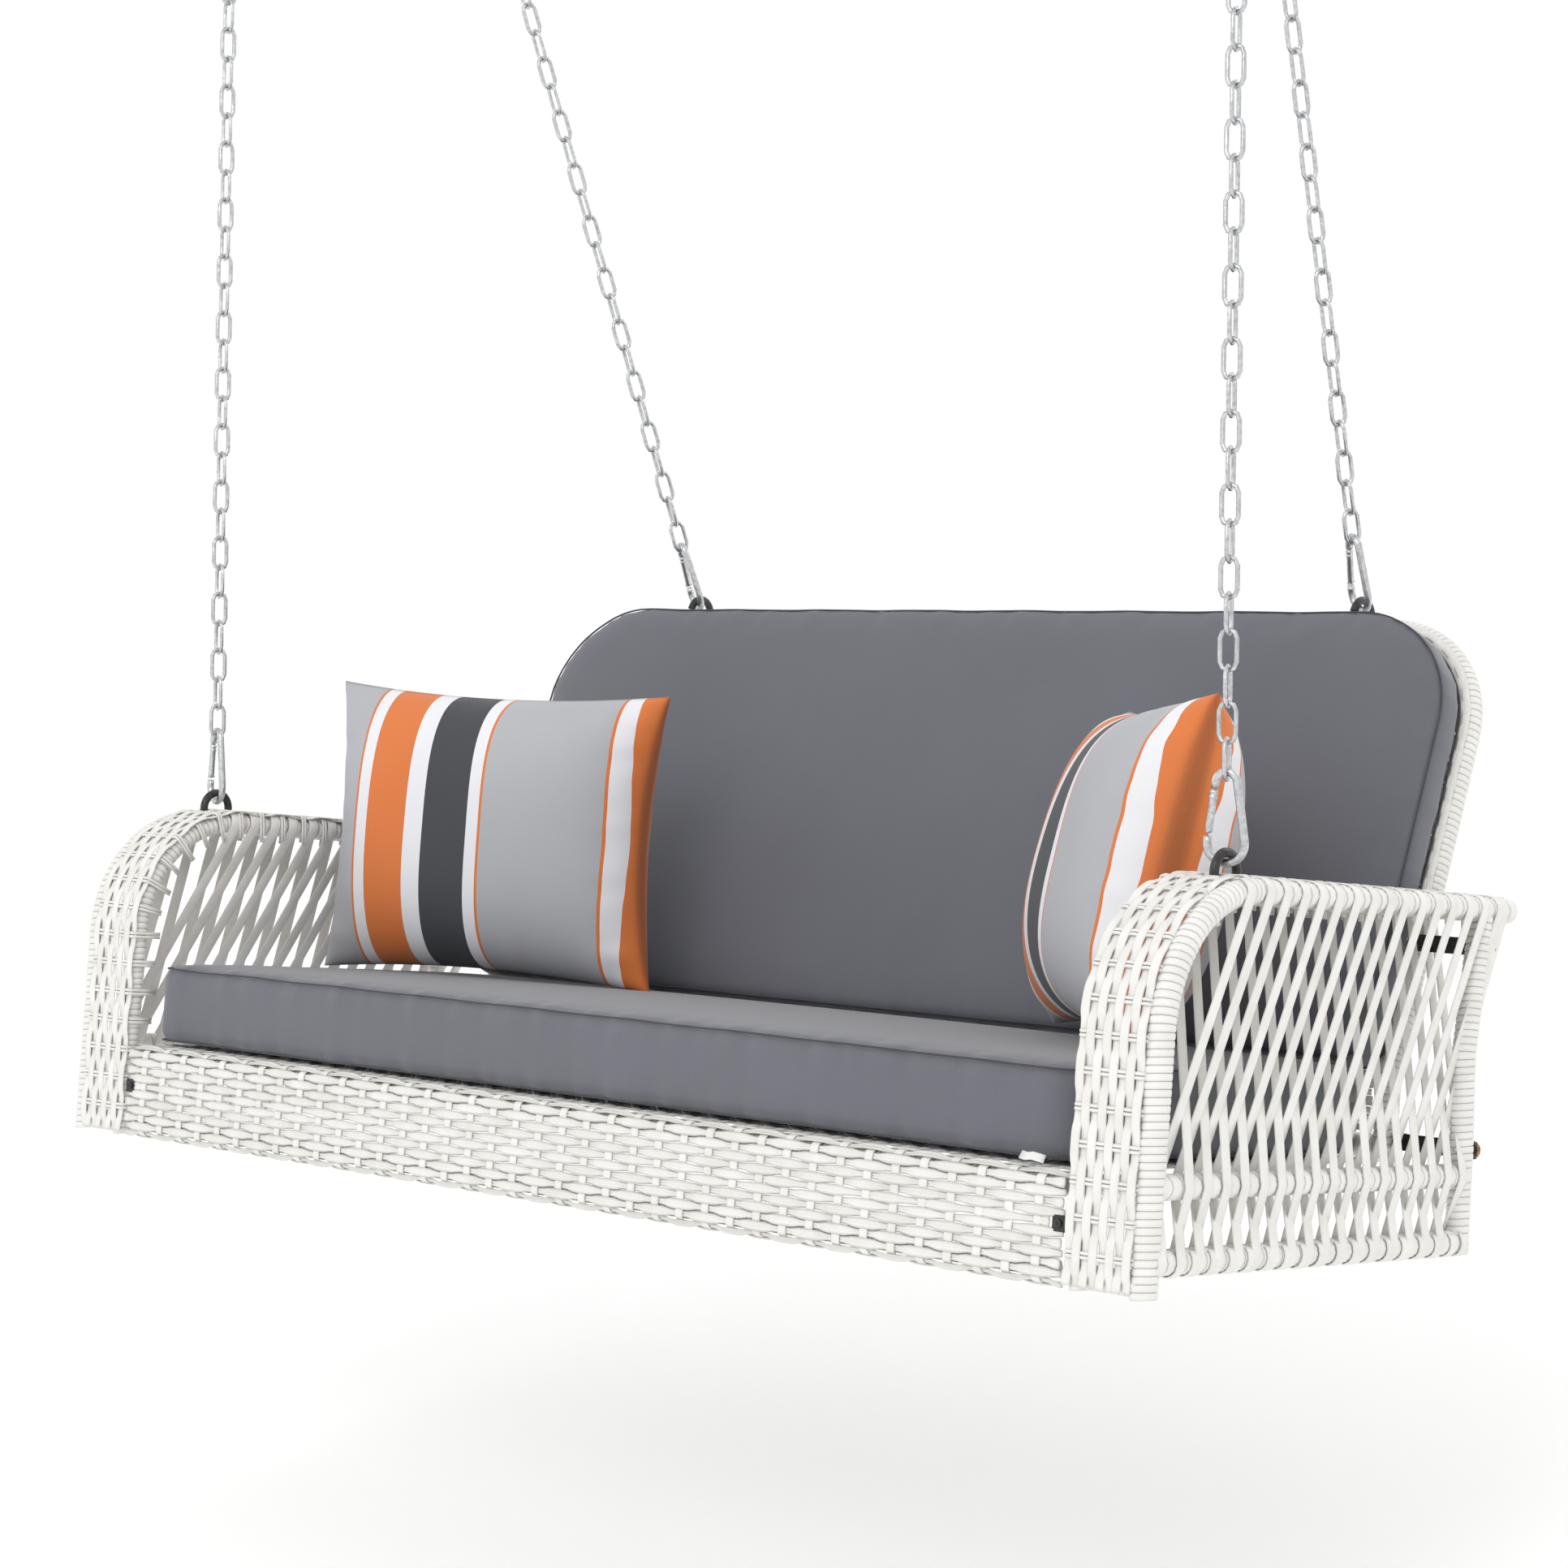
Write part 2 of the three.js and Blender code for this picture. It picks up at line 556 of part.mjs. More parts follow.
/** A chain: a true link at each end, and two crossed webs for the run of links between them. */
function chain(span, hangerTurn) {
  const first = CARABINER.length - 3 * carabinerWire - CHAIN_WIRE - HOOK_PLAY;
  const reach = span + EYE_WIRE - CHAIN_WIRE + HOOK_PLAY - first;
  const count = Math.round(reach / CHAIN_PITCH);
  const pitch = reach / count;
  const last = first + (count - 1) * pitch;
  const [from, to] = [first + pitch + CHAIN_WIRE, last + CHAIN_WIRE];
  const half = LINK_WIDTH / 2;
  const web = CHAIN_WEB / 2;
  const flatWeb = block(v(-half, -web, from), v(half, web, to));
  const edgeWeb = block(v(-web, -half, from), v(web, half, to));
  return union(link(first, pitch, Math.PI / 2), flatWeb, edgeWeb, link(last, pitch, hangerTurn));
}

/** Hang one line: carabiner on its eye loop, then the chain up to the pivot. */
function hangLine(name, side, eyeCentre, hangerX, turn) {
  const pivot = v(side * hangerX, PIVOT.y, PIVOT.z);
  const up = new THREE.Vector3().subVectors(pivot, eyeCentre).normalize();
  const rest = EYE_BOW - EYE_WIRE - carabinerWire - 3 * GAP;
  const foot = eyeCentre.clone().addScaledVector(up, rest);
  const plane = v(Math.sin(turn), Math.cos(turn), 0);
  const u = plane.addScaledVector(up, -plane.dot(up)).normalize();
  const line = new THREE.Group();
  line.quaternion.setFromRotationMatrix(new THREE.Matrix4().makeBasis(u, up.clone().cross(u), up));
  line.position.copy(foot);
  bench.add(line);
  add(line, `carabiner_body_${name}`, carabinerBody(), 'zinc');
  add(line, `carabiner_gate_${name}`, carabinerGate(), 'zinc');
  add(line, `carabiner_pin_${name}`, carabinerPin(), 'zinc');
  add(line, `chain_${name}`, chain(pivot.distanceTo(foot), turn), 'zinc');
}

// ---------------------------------------------------------------- ceiling plates
const PLATE = { length: 190, width: 60, thickness: 6, corner: 12, screwOffset: 18 };

const SCREW_SHANK = 3; // radius

function ceilingPlate(side) {
  const middle = (side * (HANGER_FRONT_X + HANGER_REAR_X)) / 2;
  const [alongX, alongY] = [PLATE.length / 2, PLATE.width / 2];
  const outline = roundedOutline(-alongX, -alongY, alongX, alongY, PLATE.corner);
  let body = solid(plate(outline, PLATE.thickness).translate(middle, 0, -PLATE.thickness));
  const bore = (x, y, radius) => {
    body = body.subtract(rod([v(x, y, -PLATE.thickness - 5), v(x, y, 5)], radius));
  };
  for (const x of [HANGER_FRONT_X, HANGER_REAR_X]) bore(side * x, 0, EYE_WIRE + GAP);
  for (const offset of [-1, 1]) bore(middle, offset * PLATE.screwOffset, SCREW_SHANK + GAP);
  return body;
}

/** A forged eye below its plate, with a collar and a stem let into the plate. */
function ceilingEye() {
  const centre = -PIVOT_DROP + EYE_BOW;
  const steps = 10;
  const bow = EYE_BOW / Math.cos(Math.PI / steps);
  const ring = [];
  for (let k = 0; k <= steps + 1; k += 1) {
    const angle = -Math.PI / 2 + (2 * Math.PI * (k - 0.5)) / steps;
    ring.push(v(bow * Math.cos(angle), 0, centre + bow * Math.sin(angle)));
  }
  const halves = [rod(ring.slice(0, 6), EYE_WIRE, 6), rod(ring.slice(5), EYE_WIRE, 6)];
  const stem = rod([v(0, 0, centre + EYE_BOW), v(0, 0, -0.2)], EYE_WIRE);
  const collar = rod([v(0, 0, centre + EYE_BOW + 1), v(0, 0, -PLATE.thickness - GAP)], EYE_WIRE + 4);
  return union(...halves, stem, collar);
}

function ceilingScrew() {
  const shank = rod([v(0, 0, -PLATE.thickness - 1), v(0, 0, -0.2)], SCREW_SHANK);
  const profile = [[0, 0], [6.5, 0], [5.5, 2.4], [3, 3.6], [0, 4]];
  const head = new THREE.LatheGeometry(profile.map(([r, h]) => new THREE.Vector2(r, h)), 10);
  head.rotateX(-Math.PI / 2).translate(0, 0, -PLATE.thickness - GAP);
  return geometryOf(union(solid(head), shank));
}

// ---------------------------------------------------------------- cushions
function seatCushion() {
  const { halfWidth, front, bottom, thickness, corner } = SEAT_CUSHION;
  const outline = roundedOutline(-halfWidth, front, halfWidth, SEAT_BACK, corner);
  return solid(plate(outline, thickness, 4).translate(0, 0, bottom));
}

function backCushion() {
  const { halfWidth, bottom, top, thickness, corner } = BACK_CUSHION;
  const outline = roundedOutline(-halfWidth, bottom, halfWidth, top, corner, 25);
  const body = plate(outline, thickness, 5);
  body.rotateX(Math.PI / 2 - BACK_RAKE);
  const rear = onBack(0, thickness);
  return solid(body.translate(0, rear.y, rear.z));
}

/** A stuffed pillow standing on its long edge, its middle plane upright before it is placed. */
function pillow() {
  const { width, height, thickness, corner } = PILLOW;
  const bevel = 34;
  const outline = roundedOutline(-width / 2 + bevel, bevel, width / 2 - bevel, height - bevel, corner - 10);
  const options = {
    depth: thickness * 0.5,
    bevelThickness: thickness * 0.25,
    bevelSize: bevel,
    bevelSegments: 3,
    curveSegments: 3,
  };
  const body = new THREE.ExtrudeGeometry(outline, options).translate(0, 0, -thickness * 0.25);
  return solid(body.rotateX(Math.PI / 2));
}

// ---------------------------------------------------------------- assembly
for (const [name, side] of SIDES) {
  add(bench, `arm_frame_${name}`, armFrame(side), 'frame');
  add(bench, `arm_weave_${name}`, armWeave(side), 'wicker');
  add(bench, `side_lattice_${name}`, sideLattice(side), 'wicker');
  add(bench, `apron_bracket_${name}`, apronBracket(side), 'black');
  add(bench, `apron_screw_${name}`, apronScrew(side), 'black');
  for (const [level, place] of Object.entries(backBolts)) {
    add(bench, `back_lug_${level}_${name}`, backLug(side, place, backTubeY(place.z)), 'black');
    add(bench, `back_bolt_${level}_${name}`, backBolt(side, place), 'bolt');
  }
  const down = v(0, 0, -1);
  const frontEye = v(side * EYE_FRONT.x, EYE_FRONT.y, ARM_TOP + 3);
  add(bench, `eye_front_${name}`, eyeLoop(frontEye, down, 17), 'black');
  const aboveBack = onBack(BACK_FRAME_TOP + 14, BACK_FRAME_DEPTH);
  const rearEye = v(side * EYE_REAR_X, aboveBack.y, aboveBack.z);
  const downBack = v(0, -Math.sin(BACK_RAKE), -Math.cos(BACK_RAKE));
  add(bench, `eye_rear_${name}`, eyeLoop(rearEye, downBack, 1), 'black');
  // The front carabiners' gates both face the same way.
  const frontTurn = side > 0 ? Math.PI + FRONT_CARABINER_TURN : -FRONT_CARABINER_TURN;
  hangLine(`front_${name}`, side, frontEye, HANGER_FRONT_X, frontTurn);
  hangLine(`rear_${name}`, side, rearEye, HANGER_REAR_X, REAR_CARABINER_TURN);
  add(porchSwing, `ceiling_plate_${name}`, ceilingPlate(side), 'zinc');
  const middle = (side * (HANGER_FRONT_X + HANGER_REAR_X)) / 2;
  for (const [place, x] of [['front', HANGER_FRONT_X], ['rear', HANGER_REAR_X]]) {
    add(porchSwing, `ceiling_eye_${place}_${name}`, ceilingEye(), 'zinc').position.x = side * x;
  }
  for (const [place, offset] of [['front', -1], ['rear', 1]]) {
    const screw = add(porchSwing, `ceiling_screw_${place}_${name}`, ceilingScrew(), 'zinc');
    screw.position.set(middle, offset * PLATE.screwOffset, 0);
  }
}
add(bench, 'seat_frame', seatFrame(), 'frame');
add(bench, 'apron_weave', apronWeave(), 'wicker');
add(bench, 'seat_deck', seatDeck(), 'wicker');
add(bench, 'back_frame', backFrame(), 'frame');
add(bench, 'back_weave', backWeave(), 'wicker');
add(bench, 'seat_cushion', seatCushion(), 'cushion');
add(bench, 'back_cushion', backCushion(), 'cushion');

const seatTop = SEAT_CUSHION.bottom + SEAT_CUSHION.thickness;
const pillowRight = add(bench, 'pillow_right', pillow(), 'pillow');
pillowRight.position.set(-383, 296, seatTop + 3);
pillowRight.rotation.set(0, 0, THREE.MathUtils.degToRad(17));
const pillowLeft = add(bench, 'pillow_left', pillow(), 'pillow');
pillowLeft.position.set(390, 282, seatTop + 12);
pillowLeft.rotation.set(THREE.MathUtils.degToRad(-10), 0, THREE.MathUtils.degToRad(-44), 'ZXY');

export default porchSwing;
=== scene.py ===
import json

import bpy
import numpy as np
from mathutils import Matrix, Vector


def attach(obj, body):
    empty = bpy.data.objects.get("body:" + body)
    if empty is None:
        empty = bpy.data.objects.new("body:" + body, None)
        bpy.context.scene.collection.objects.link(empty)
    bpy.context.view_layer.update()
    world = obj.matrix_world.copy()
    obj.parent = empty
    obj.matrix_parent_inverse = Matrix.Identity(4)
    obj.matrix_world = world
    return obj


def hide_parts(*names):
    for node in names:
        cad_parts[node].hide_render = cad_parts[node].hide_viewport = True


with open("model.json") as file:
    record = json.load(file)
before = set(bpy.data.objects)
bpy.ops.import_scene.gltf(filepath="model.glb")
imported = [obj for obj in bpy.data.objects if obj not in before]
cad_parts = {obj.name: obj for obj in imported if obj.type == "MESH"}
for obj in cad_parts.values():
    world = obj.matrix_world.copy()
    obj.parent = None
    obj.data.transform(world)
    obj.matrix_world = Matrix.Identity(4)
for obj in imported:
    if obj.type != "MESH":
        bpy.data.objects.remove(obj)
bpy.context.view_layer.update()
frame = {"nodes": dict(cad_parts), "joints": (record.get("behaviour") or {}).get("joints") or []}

# ---------------------------------------------------------------------------
# How the bench hangs
# The bench is worked out level, standing on its lowest edge with its front plane at y = 0, and then
# leant back about the hinge line as it hangs at rest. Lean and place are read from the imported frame.
# ---------------------------------------------------------------------------
HINGE = next(j for j in frame["joints"] if j["name"] == "swing")["pos_m"]


def corners_of(node):
    """The vertices of a CAD node as an array of points."""
    mesh = frame["nodes"][node].data
    points = np.empty(len(mesh.vertices) * 3, np.float32)
    mesh.vertices.foreach_get("co", points)
    return points.reshape(-1, 3).astype(float)


deck_points = corners_of("seat_deck")
deck_normal = np.linalg.svd(deck_points - deck_points.mean(0))[2][2]
LEAN = np.arctan2(deck_normal[1] * np.sign(deck_normal[2]), abs(deck_normal[2]))
LEANING = np.array([[1, 0, 0], [0, np.cos(LEAN), -np.sin(LEAN)], [0, np.sin(LEAN), np.cos(LEAN)]])
FOOT = ((corners_of("apron_weave") - HINGE) @ LEANING.T).min(0) * (0, 1, 1)


def hang(points):
    """Points of the level bench, leant back about the hinge line to where they hang."""
    return (np.asarray(points, float) + FOOT) @ LEANING + HINGE


def levelled(node):
    """A CAD node's vertices, turned back to the level bench."""
    return (corners_of(node) - HINGE) @ LEANING.T - FOOT


# ---------------------------------------------------------------------------
# Camera, light and floor
# A long lens at the height of the chains' lower ends, looking along the front from the sitter's left.
# ---------------------------------------------------------------------------
CAMERA_PLACE = (2.129, -2.171, 0.305)
CAMERA_YAW, CAMERA_PITCH, CAMERA_ROLL = 0.711, -0.0266, 0.071
CAMERA_LENS = 78.37
FLOOR_CLEARANCE, FLOOR_HALF = 0.30, 14
WHITE_LIGHT = (1.0, 1.0, 1.0, 1)

sight = np.array([-np.sin(CAMERA_YAW) * np.cos(CAMERA_PITCH),
                  np.cos(CAMERA_YAW) * np.cos(CAMERA_PITCH),
                  -np.sin(CAMERA_PITCH)])
level_right = np.cross(sight, (0, 0, 1))
level_right /= np.linalg.norm(level_right)
level_up = np.cross(level_right, sight)
right = level_right * np.cos(CAMERA_ROLL) + level_up * np.sin(CAMERA_ROLL)
up = level_up * np.cos(CAMERA_ROLL) - level_right * np.sin(CAMERA_ROLL)
camera_axes = np.array([right, up, -sight]) @ LEANING

camera = bpy.data.objects.new("camera", bpy.data.cameras.new("camera"))
camera.data.lens = CAMERA_LENS
camera.data.sensor_width = 36
camera.data.clip_end = 50
camera.matrix_world = Matrix.Translation(hang(CAMERA_PLACE)) @ Matrix(camera_axes.T.tolist()).to_4x4()
bpy.context.scene.collection.objects.link(camera)
bpy.context.scene.camera = camera
bpy.context.scene.view_settings.view_transform = "Standard"

world = bpy.data.worlds.new("studio")
bpy.context.scene.world = world
world.use_nodes = True
sky = world.node_tree.nodes["Background"]
sky.inputs["Color"].default_value = WHITE_LIGHT
sky.inputs["Strength"].default_value = 1.0

bench_low = hang([[0, 0, 0], [0, 0.5, 0]])[:, 2].min()


def add_light(name, place, aim, size, power):
    """A soft square lamp at one place, facing another."""
    lamp = bpy.data.lights.new(name, "AREA")
    lamp.size = size
    lamp.energy = power
    lamp_object = bpy.data.objects.new(name, lamp)
    turn = Vector(aim - np.asarray(place)).to_track_quat("-Z", "Y").to_matrix().to_4x4()
    lamp_object.matrix_world = Matrix.Translation(place) @ turn
    bpy.context.scene.collection.objects.link(lamp_object)


bench_middle = hang([0, 0.25, 0.3])
add_light("key_light", (1.2, -3.2, bench_low + 3.0), bench_middle, 2.2, 34)
add_light("fill_light", (-3.0, -2.0, bench_low + 1.8), bench_middle, 2.5, 8)
add_light("back_light", (1.5, 3.0, bench_low + 2.6), bench_middle, 2.5, 12)

floor_mesh = bpy.data.meshes.new("floor")
floor_z = bench_low - FLOOR_CLEARANCE
floor_corners = [(x * FLOOR_HALF, y * FLOOR_HALF, floor_z) for x, y in ((-1, -1), (1, -1), (1, 1), (-1, 1))]
floor_mesh.from_pydata(floor_corners, [], [(0, 1, 2, 3)])
floor = bpy.data.objects.new("floor", floor_mesh)
bpy.context.scene.collection.objects.link(floor)
floor_paint = bpy.data.materials.new("floor_paint")
floor_paint.use_nodes = True
floor_shader = floor_paint.node_tree.nodes["Principled BSDF"]
floor_shader.inputs["Base Color"].default_value = WHITE_LIGHT
floor_shader.inputs["Roughness"].default_value = 1.0
floor_shader.inputs["Specular IOR Level"].default_value = 0.0
floor_mesh.materials.append(floor_paint)

# ---------------------------------------------------------------------------
# Arms: edge tubes and rails
# Bent steel tube, 22 mm over its winding of flat resin cane. The winding is drawn as rings 6 mm wide
# that slant a little, each with a groove to the next. Everything is swept along lines in whole arrays.
# ---------------------------------------------------------------------------
RIGID = "swing_seat"
SIDES = {"left": 1, "right": -1}
ARM_TOP = levelled("arm_frame_left")[:, 2].max()
ARM_OUT = levelled("arm_frame_left")[:, 0].max()
ARM_IN = levelled("arm_frame_left")[:, 0].min()
ARM_BACK = levelled("arm_frame_left")[:, 1].max()
WOUND_RADIUS = 0.011
CORNER = 0.128
WRAP = 0.0062
MID_RAIL_Z, LOW_RAIL_Z = 0.086, 0.028


def unit(vectors):
    """Vectors scaled to length one."""
    return vectors / np.maximum(np.linalg.norm(vectors, axis=-1, keepdims=True), 1e-12)


def resample(line, step):
    """A line of points walked at an even step, by linear interpolation over its length."""
    line = np.asarray(line, float)
    length = np.concatenate([[0], np.cumsum(np.linalg.norm(np.diff(line, axis=0), axis=1))])
    count = max(int(round(length[-1] / step)), 2)
    at = np.linspace(0, length[-1], count + 1)
    return np.stack([np.interp(at, length, line[:, k]) for k in range(3)], 1), at


def rounded(corners, radius, steps=8):
    """Straight runs between corners, each inner corner replaced by an arc of the given radius."""
    corners = [np.asarray(c, float) for c in corners]
    line = [corners[0][None]]
    for before, here, after in zip(corners, corners[1:], corners[2:]):
        into, out = unit(here - before), unit(after - here)
        turn = np.arccos(np.clip(into @ out, -1, 1))
        side = unit(out - into * (into @ out))
        angle = np.linspace(0, turn, steps + 1)[:, None]
        start = here - into * radius * np.tan(turn / 2)
        line.append(start + radius * (into * np.sin(angle) + side * (1 - np.cos(angle))))
    return np.concatenate([*line, corners[-1][None]])


def sweep(paths, profile, side):
    """Profiles carried along paths. paths is (strands, rows, 3); profile is (points, 2) or
    (strands, rows, points, 2), its first number along the side direction and its second along the
    normal, which is side crossed with the path's direction. Returns (strands, rows, points, 3)."""
    tangent = unit(np.gradient(paths, axis=1))
    side = np.broadcast_to(side, paths.shape)
    side = unit(side - tangent * (side * tangent).sum(-1, keepdims=True))
    normal = np.cross(tangent, side)
    profile = np.broadcast_to(profile, (*paths.shape[:2], *np.shape(profile)[-2:]))
    across = profile[..., :1] * side[:, :, None]
    return paths[:, :, None] + across + profile[..., 1:] * normal[:, :, None]


def grid_quads(strands, rows, points, ring=False):
    """Quads of closed sections joined row to row; ring joins the last row to the first."""
    last = rows if ring else rows - 1
    strand, row, point = np.meshgrid(np.arange(strands), np.arange(last), np.arange(points), indexing="ij")
    base = strand * rows * points
    following_row, following_point = (row + 1) % rows, (point + 1) % points
    corners = [base + row * points + point, base + row * points + following_point,
               base + following_row * points + following_point, base + following_row * points + point]
    return np.stack(corners, -1).reshape(-1, 4)


def end_caps(strands, rows, points):
    """One face over each end of every strand."""
    first = np.arange(strands)[:, None] * rows * points + np.arange(points)[None, ::-1]
    last = np.arange(strands)[:, None] * rows * points + (rows - 1) * points + np.arange(points)[None]
    return np.concatenate([first, last])


def build(name, shells, material, marks=None, body=RIGID):
    """One mesh object from (vertices, [face arrays]) shells, hung in place and riding on a body.
    marks holds named values, one per vertex, that the materials read as attributes."""
    vertices = np.concatenate([v.reshape(-1, 3) for v, _ in shells])
    offsets = np.cumsum([0, *[len(v.reshape(-1, 3)) for v, _ in shells]])
    faces = [f + offset for (_, groups), offset in zip(shells, offsets) for f in groups]
    mesh = bpy.data.meshes.new(name)
    mesh.vertices.add(len(vertices))
    mesh.vertices.foreach_set("co", hang(vertices).astype(np.float32).ravel())
    totals = np.concatenate([np.full(len(f), f.shape[1]) for f in faces])
    loops = np.concatenate([f.ravel() for f in faces])
    mesh.loops.add(len(loops))
    mesh.loops.foreach_set("vertex_index", loops.astype(np.int32))
    mesh.polygons.add(len(totals))
    mesh.polygons.foreach_set("loop_start", (np.cumsum(totals) - totals).astype(np.int32))
    mesh.polygons.foreach_set("loop_total", totals.astype(np.int32))
    mesh.polygons.foreach_set("use_smooth", np.ones(len(totals), bool))
    for mark, values in (marks or {}).items():
        layer = mesh.attributes.new(mark, "FLOAT", "POINT")
        layer.data.foreach_set("value", np.asarray(values, np.float32).ravel())
    mesh.update()
    mesh.validate()
    mesh.materials.append(material)
    piece = bpy.data.objects.new(name, mesh)
    bpy.context.scene.collection.objects.link(piece)
    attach(piece, body)
    return piece


def circle(radius, points, squash=1.0):
    """A round section, or an oval one where squash is below one."""
    angle = np.arange(points) * 2 * np.pi / points
    return np.stack([radius * np.cos(angle), radius * squash * np.sin(angle)], 1)


def wound_tube(line, side, radius=WOUND_RADIUS, wrap=WRAP, slant=0.0011, points=12, groove=0.0010):
    """A tube wound with flat cane: its radius dips into a groove at each turn of the winding, and each
    turn's rim slants along the tube. Returns the shell, a mark for painted shade that is one at the
    bottom of each groove, and a tone for each turn."""
    path, length = resample(line, 0.002)
    turns = max(int(length[-1] / wrap), 1)
    at = ((np.arange(turns)[:, None] + np.array([0.0, 0.09, 0.5, 0.91])) * length[-1] / turns).ravel()
    at = np.append(at, length[-1])
    path = np.stack([np.interp(at, length, path[:, k]) for k in range(3)], 1)
    phase = np.arange(len(path)) % 4
    angle = np.arange(points) * 2 * np.pi / points
    swell = np.array([-groove, 0.0, 0.0002, 0.0])[phase]
    section = circle(1.0, points)[None] * (radius + swell)[:, None, None]
    skin = sweep(path[None], section[None], side)
    tangent = unit(np.gradient(path, axis=0))
    skin = skin + (tangent * slant)[None, :, None] * np.cos(angle)[None, None, :, None]
    faces = [grid_quads(1, len(path), points), end_caps(1, len(path), points)]
    # Painted shade: the ring at the bottom of each groove is marked, and the shader darkens it.
    crease_shade = np.repeat((phase == 0).astype(float), points)
    turn_tone = np.random.default_rng(turns).random(turns + 1)
    return (skin, faces), crease_shade, np.repeat(turn_tone[np.arange(len(path)) // 4], points)


# Resin wicker: off-white flat cane with a satin gloss. A node group paints shade into the grooves and
# along the strands' edges, varies the tone from strand to strand and adds faint streaks and mottling.
WICKER_WHITE = (0.83, 0.825, 0.80, 1)
WICKER_SHADE = (0.55, 0.51, 0.44, 1)
# Painted shade: the dark colour that the grooves and strand edges are drawn towards.
WICKER_CREASE_SHADE = (0.30, 0.28, 0.25, 1)


NODE_OUTPUT = {"Attribute": "Fac", "Bump": "Normal", "MapRange": "Result", "Math": "Value", "Mix": "Result",
               "TexCoord": "Object", "TexNoise": "Fac", "TexWave": "Fac", "VectorMath": "Vector"}


def add_node(tree, kind, sockets=(), **settings):
    """A shader node with its own properties set and each listed input given a value, or linked from
    another node's output. Returns the output that the materials use."""
    node = tree.nodes.new("ShaderNode" + kind)
    for key, value in settings.items():
        setattr(node, key, value)
    for key, value in dict(sockets).items():
        if isinstance(value, bpy.types.NodeSocket):
            tree.links.new(value, node.inputs[key])
        else:
            node.inputs[key].default_value = value
    return node.outputs[NODE_OUTPUT[kind]]


def mix_colours(tree, factor, first, second):
    """A blend from the first colour to the second."""
    return add_node(tree, "Mix", {"Factor": factor, "A": first, "B": second}, data_type="RGBA")


def new_group(name, inputs):
    """A shader node group with the given inputs and with colour, roughness and height as outputs.
    Returns the group, its inputs' sockets and a function that links what it gives out."""
    group = bpy.data.node_groups.new(name, "ShaderNodeTree")
    for label, value in inputs.items():
        kind = "NodeSocketColor" if isinstance(value, tuple) else "NodeSocketFloat"
        group.interface.new_socket(label, in_out="INPUT", socket_type=kind).default_value = value
    for label, kind in (("Color", "Color"), ("Roughness", "Float"), ("Height", "Float")):
        group.interface.new_socket(label, in_out="OUTPUT", socket_type="NodeSocket" + kind)
    inside, outside = group.nodes.new("NodeGroupInput"), group.nodes.new("NodeGroupOutput")

    def give(*sockets):
        for label, socket in zip(("Color", "Roughness", "Height"), sockets):
            group.links.new(socket, outside.inputs[label])
        return group

    return group, inside.outputs, give


def surface(name, group, bump_strength, bump_distance, look, **plain):
    """A material whose colour, roughness and fine bump come from a node group; look sets the group's
    inputs and plain the shader's own. Returns the material and the group's node."""
    material = bpy.data.materials.new(name)
    material.use_nodes = True
    tree = material.node_tree
    shader = tree.nodes["Principled BSDF"]
    node = tree.nodes.new("ShaderNodeGroup")
    node.node_tree = group
    for key, value in look.items():
        node.inputs[key].default_value = value
    bump = add_node(tree, "Bump", {"Strength": bump_strength, "Distance": bump_distance,
                                   "Height": node.outputs["Height"]})
    tree.links.new(node.outputs["Color"], shader.inputs["Base Color"])
    tree.links.new(node.outputs["Roughness"], shader.inputs["Roughness"])
    tree.links.new(bump, shader.inputs["Normal"])
    for key, value in plain.items():
        shader.inputs[key.replace("_", " ")].default_value = value
    return material, node


def strand_tone_group():
    """Colour of a cane strand: base tone, painted shade in creases, varied by strand and by fine mottling.
    """
    inputs = {"Tone": WICKER_WHITE, "Shade": WICKER_SHADE, "Mottle": 0.25}
    group, given, give = new_group("strand_tone", inputs)
    place = add_node(group, "TexCoord")
    tint = add_node(group, "Attribute", attribute_name="tint")
    crease_shade = add_node(group, "Attribute", attribute_name="crease_shade")
    blotch = add_node(group, "TexNoise", {"Vector": place, "Scale": 38.0, "Detail": 4.0, "Roughness": 0.6})
    fine = add_node(group, "TexNoise", {"Vector": place, "Scale": 900.0, "Detail": 2.0})
    spread = add_node(group, "MapRange", {"Value": blotch, "From Min": 0.35, "From Max": 0.75})
    varied = add_node(group, "Math", {0: tint, 1: 0.5, 2: spread}, operation="MULTIPLY_ADD")
    amount = add_node(group, "Math", {0: varied, 1: given["Mottle"]}, operation="MULTIPLY")
    tone = mix_colours(group, amount, given["Tone"], given["Shade"])
    # Painted shade: the crease mark draws the tone towards the dark crease colour.
    depth = add_node(group, "Math", {0: crease_shade, 1: 0.75}, operation="MULTIPLY")
    deep = mix_colours(group, depth, tone, WICKER_CREASE_SHADE)
    return give(deep, add_node(group, "MapRange", {"Value": fine, "To Min": 0.30, "To Max": 0.50}), fine)


STRAND_TONE = strand_tone_group()
cane_wound, _ = surface("cane_wound", STRAND_TONE, 0.12, 0.0004, {"Mottle": 0.22}, Specular_IOR_Level=0.45)
cane_woven, _ = surface("cane_woven", STRAND_TONE, 0.12, 0.0004, {"Mottle": 0.30}, Specular_IOR_Level=0.45)


def arm_hoop(x):
    """The line of an edge tube: up the post, round the corner and back along the arm."""
    tube_z, front = ARM_TOP - WOUND_RADIUS, WOUND_RADIUS
    return rounded([(x, front, 0.0), (x, front, tube_z), (x, ARM_BACK - WOUND_RADIUS, tube_z)],
                   CORNER - WOUND_RADIUS, 24)


def join_wound(name, tubes, replaced):
    """One piece from several wound tubes."""
    shells, crease_shades, tints = zip(*tubes)
    # The crease mark carries painted shade for the grooves of the winding.
    marks = {"crease_shade": np.concatenate(crease_shades), "tint": np.concatenate(tints)}
    piece = build(name, shells, cane_wound, marks=marks)
    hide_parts(*replaced)


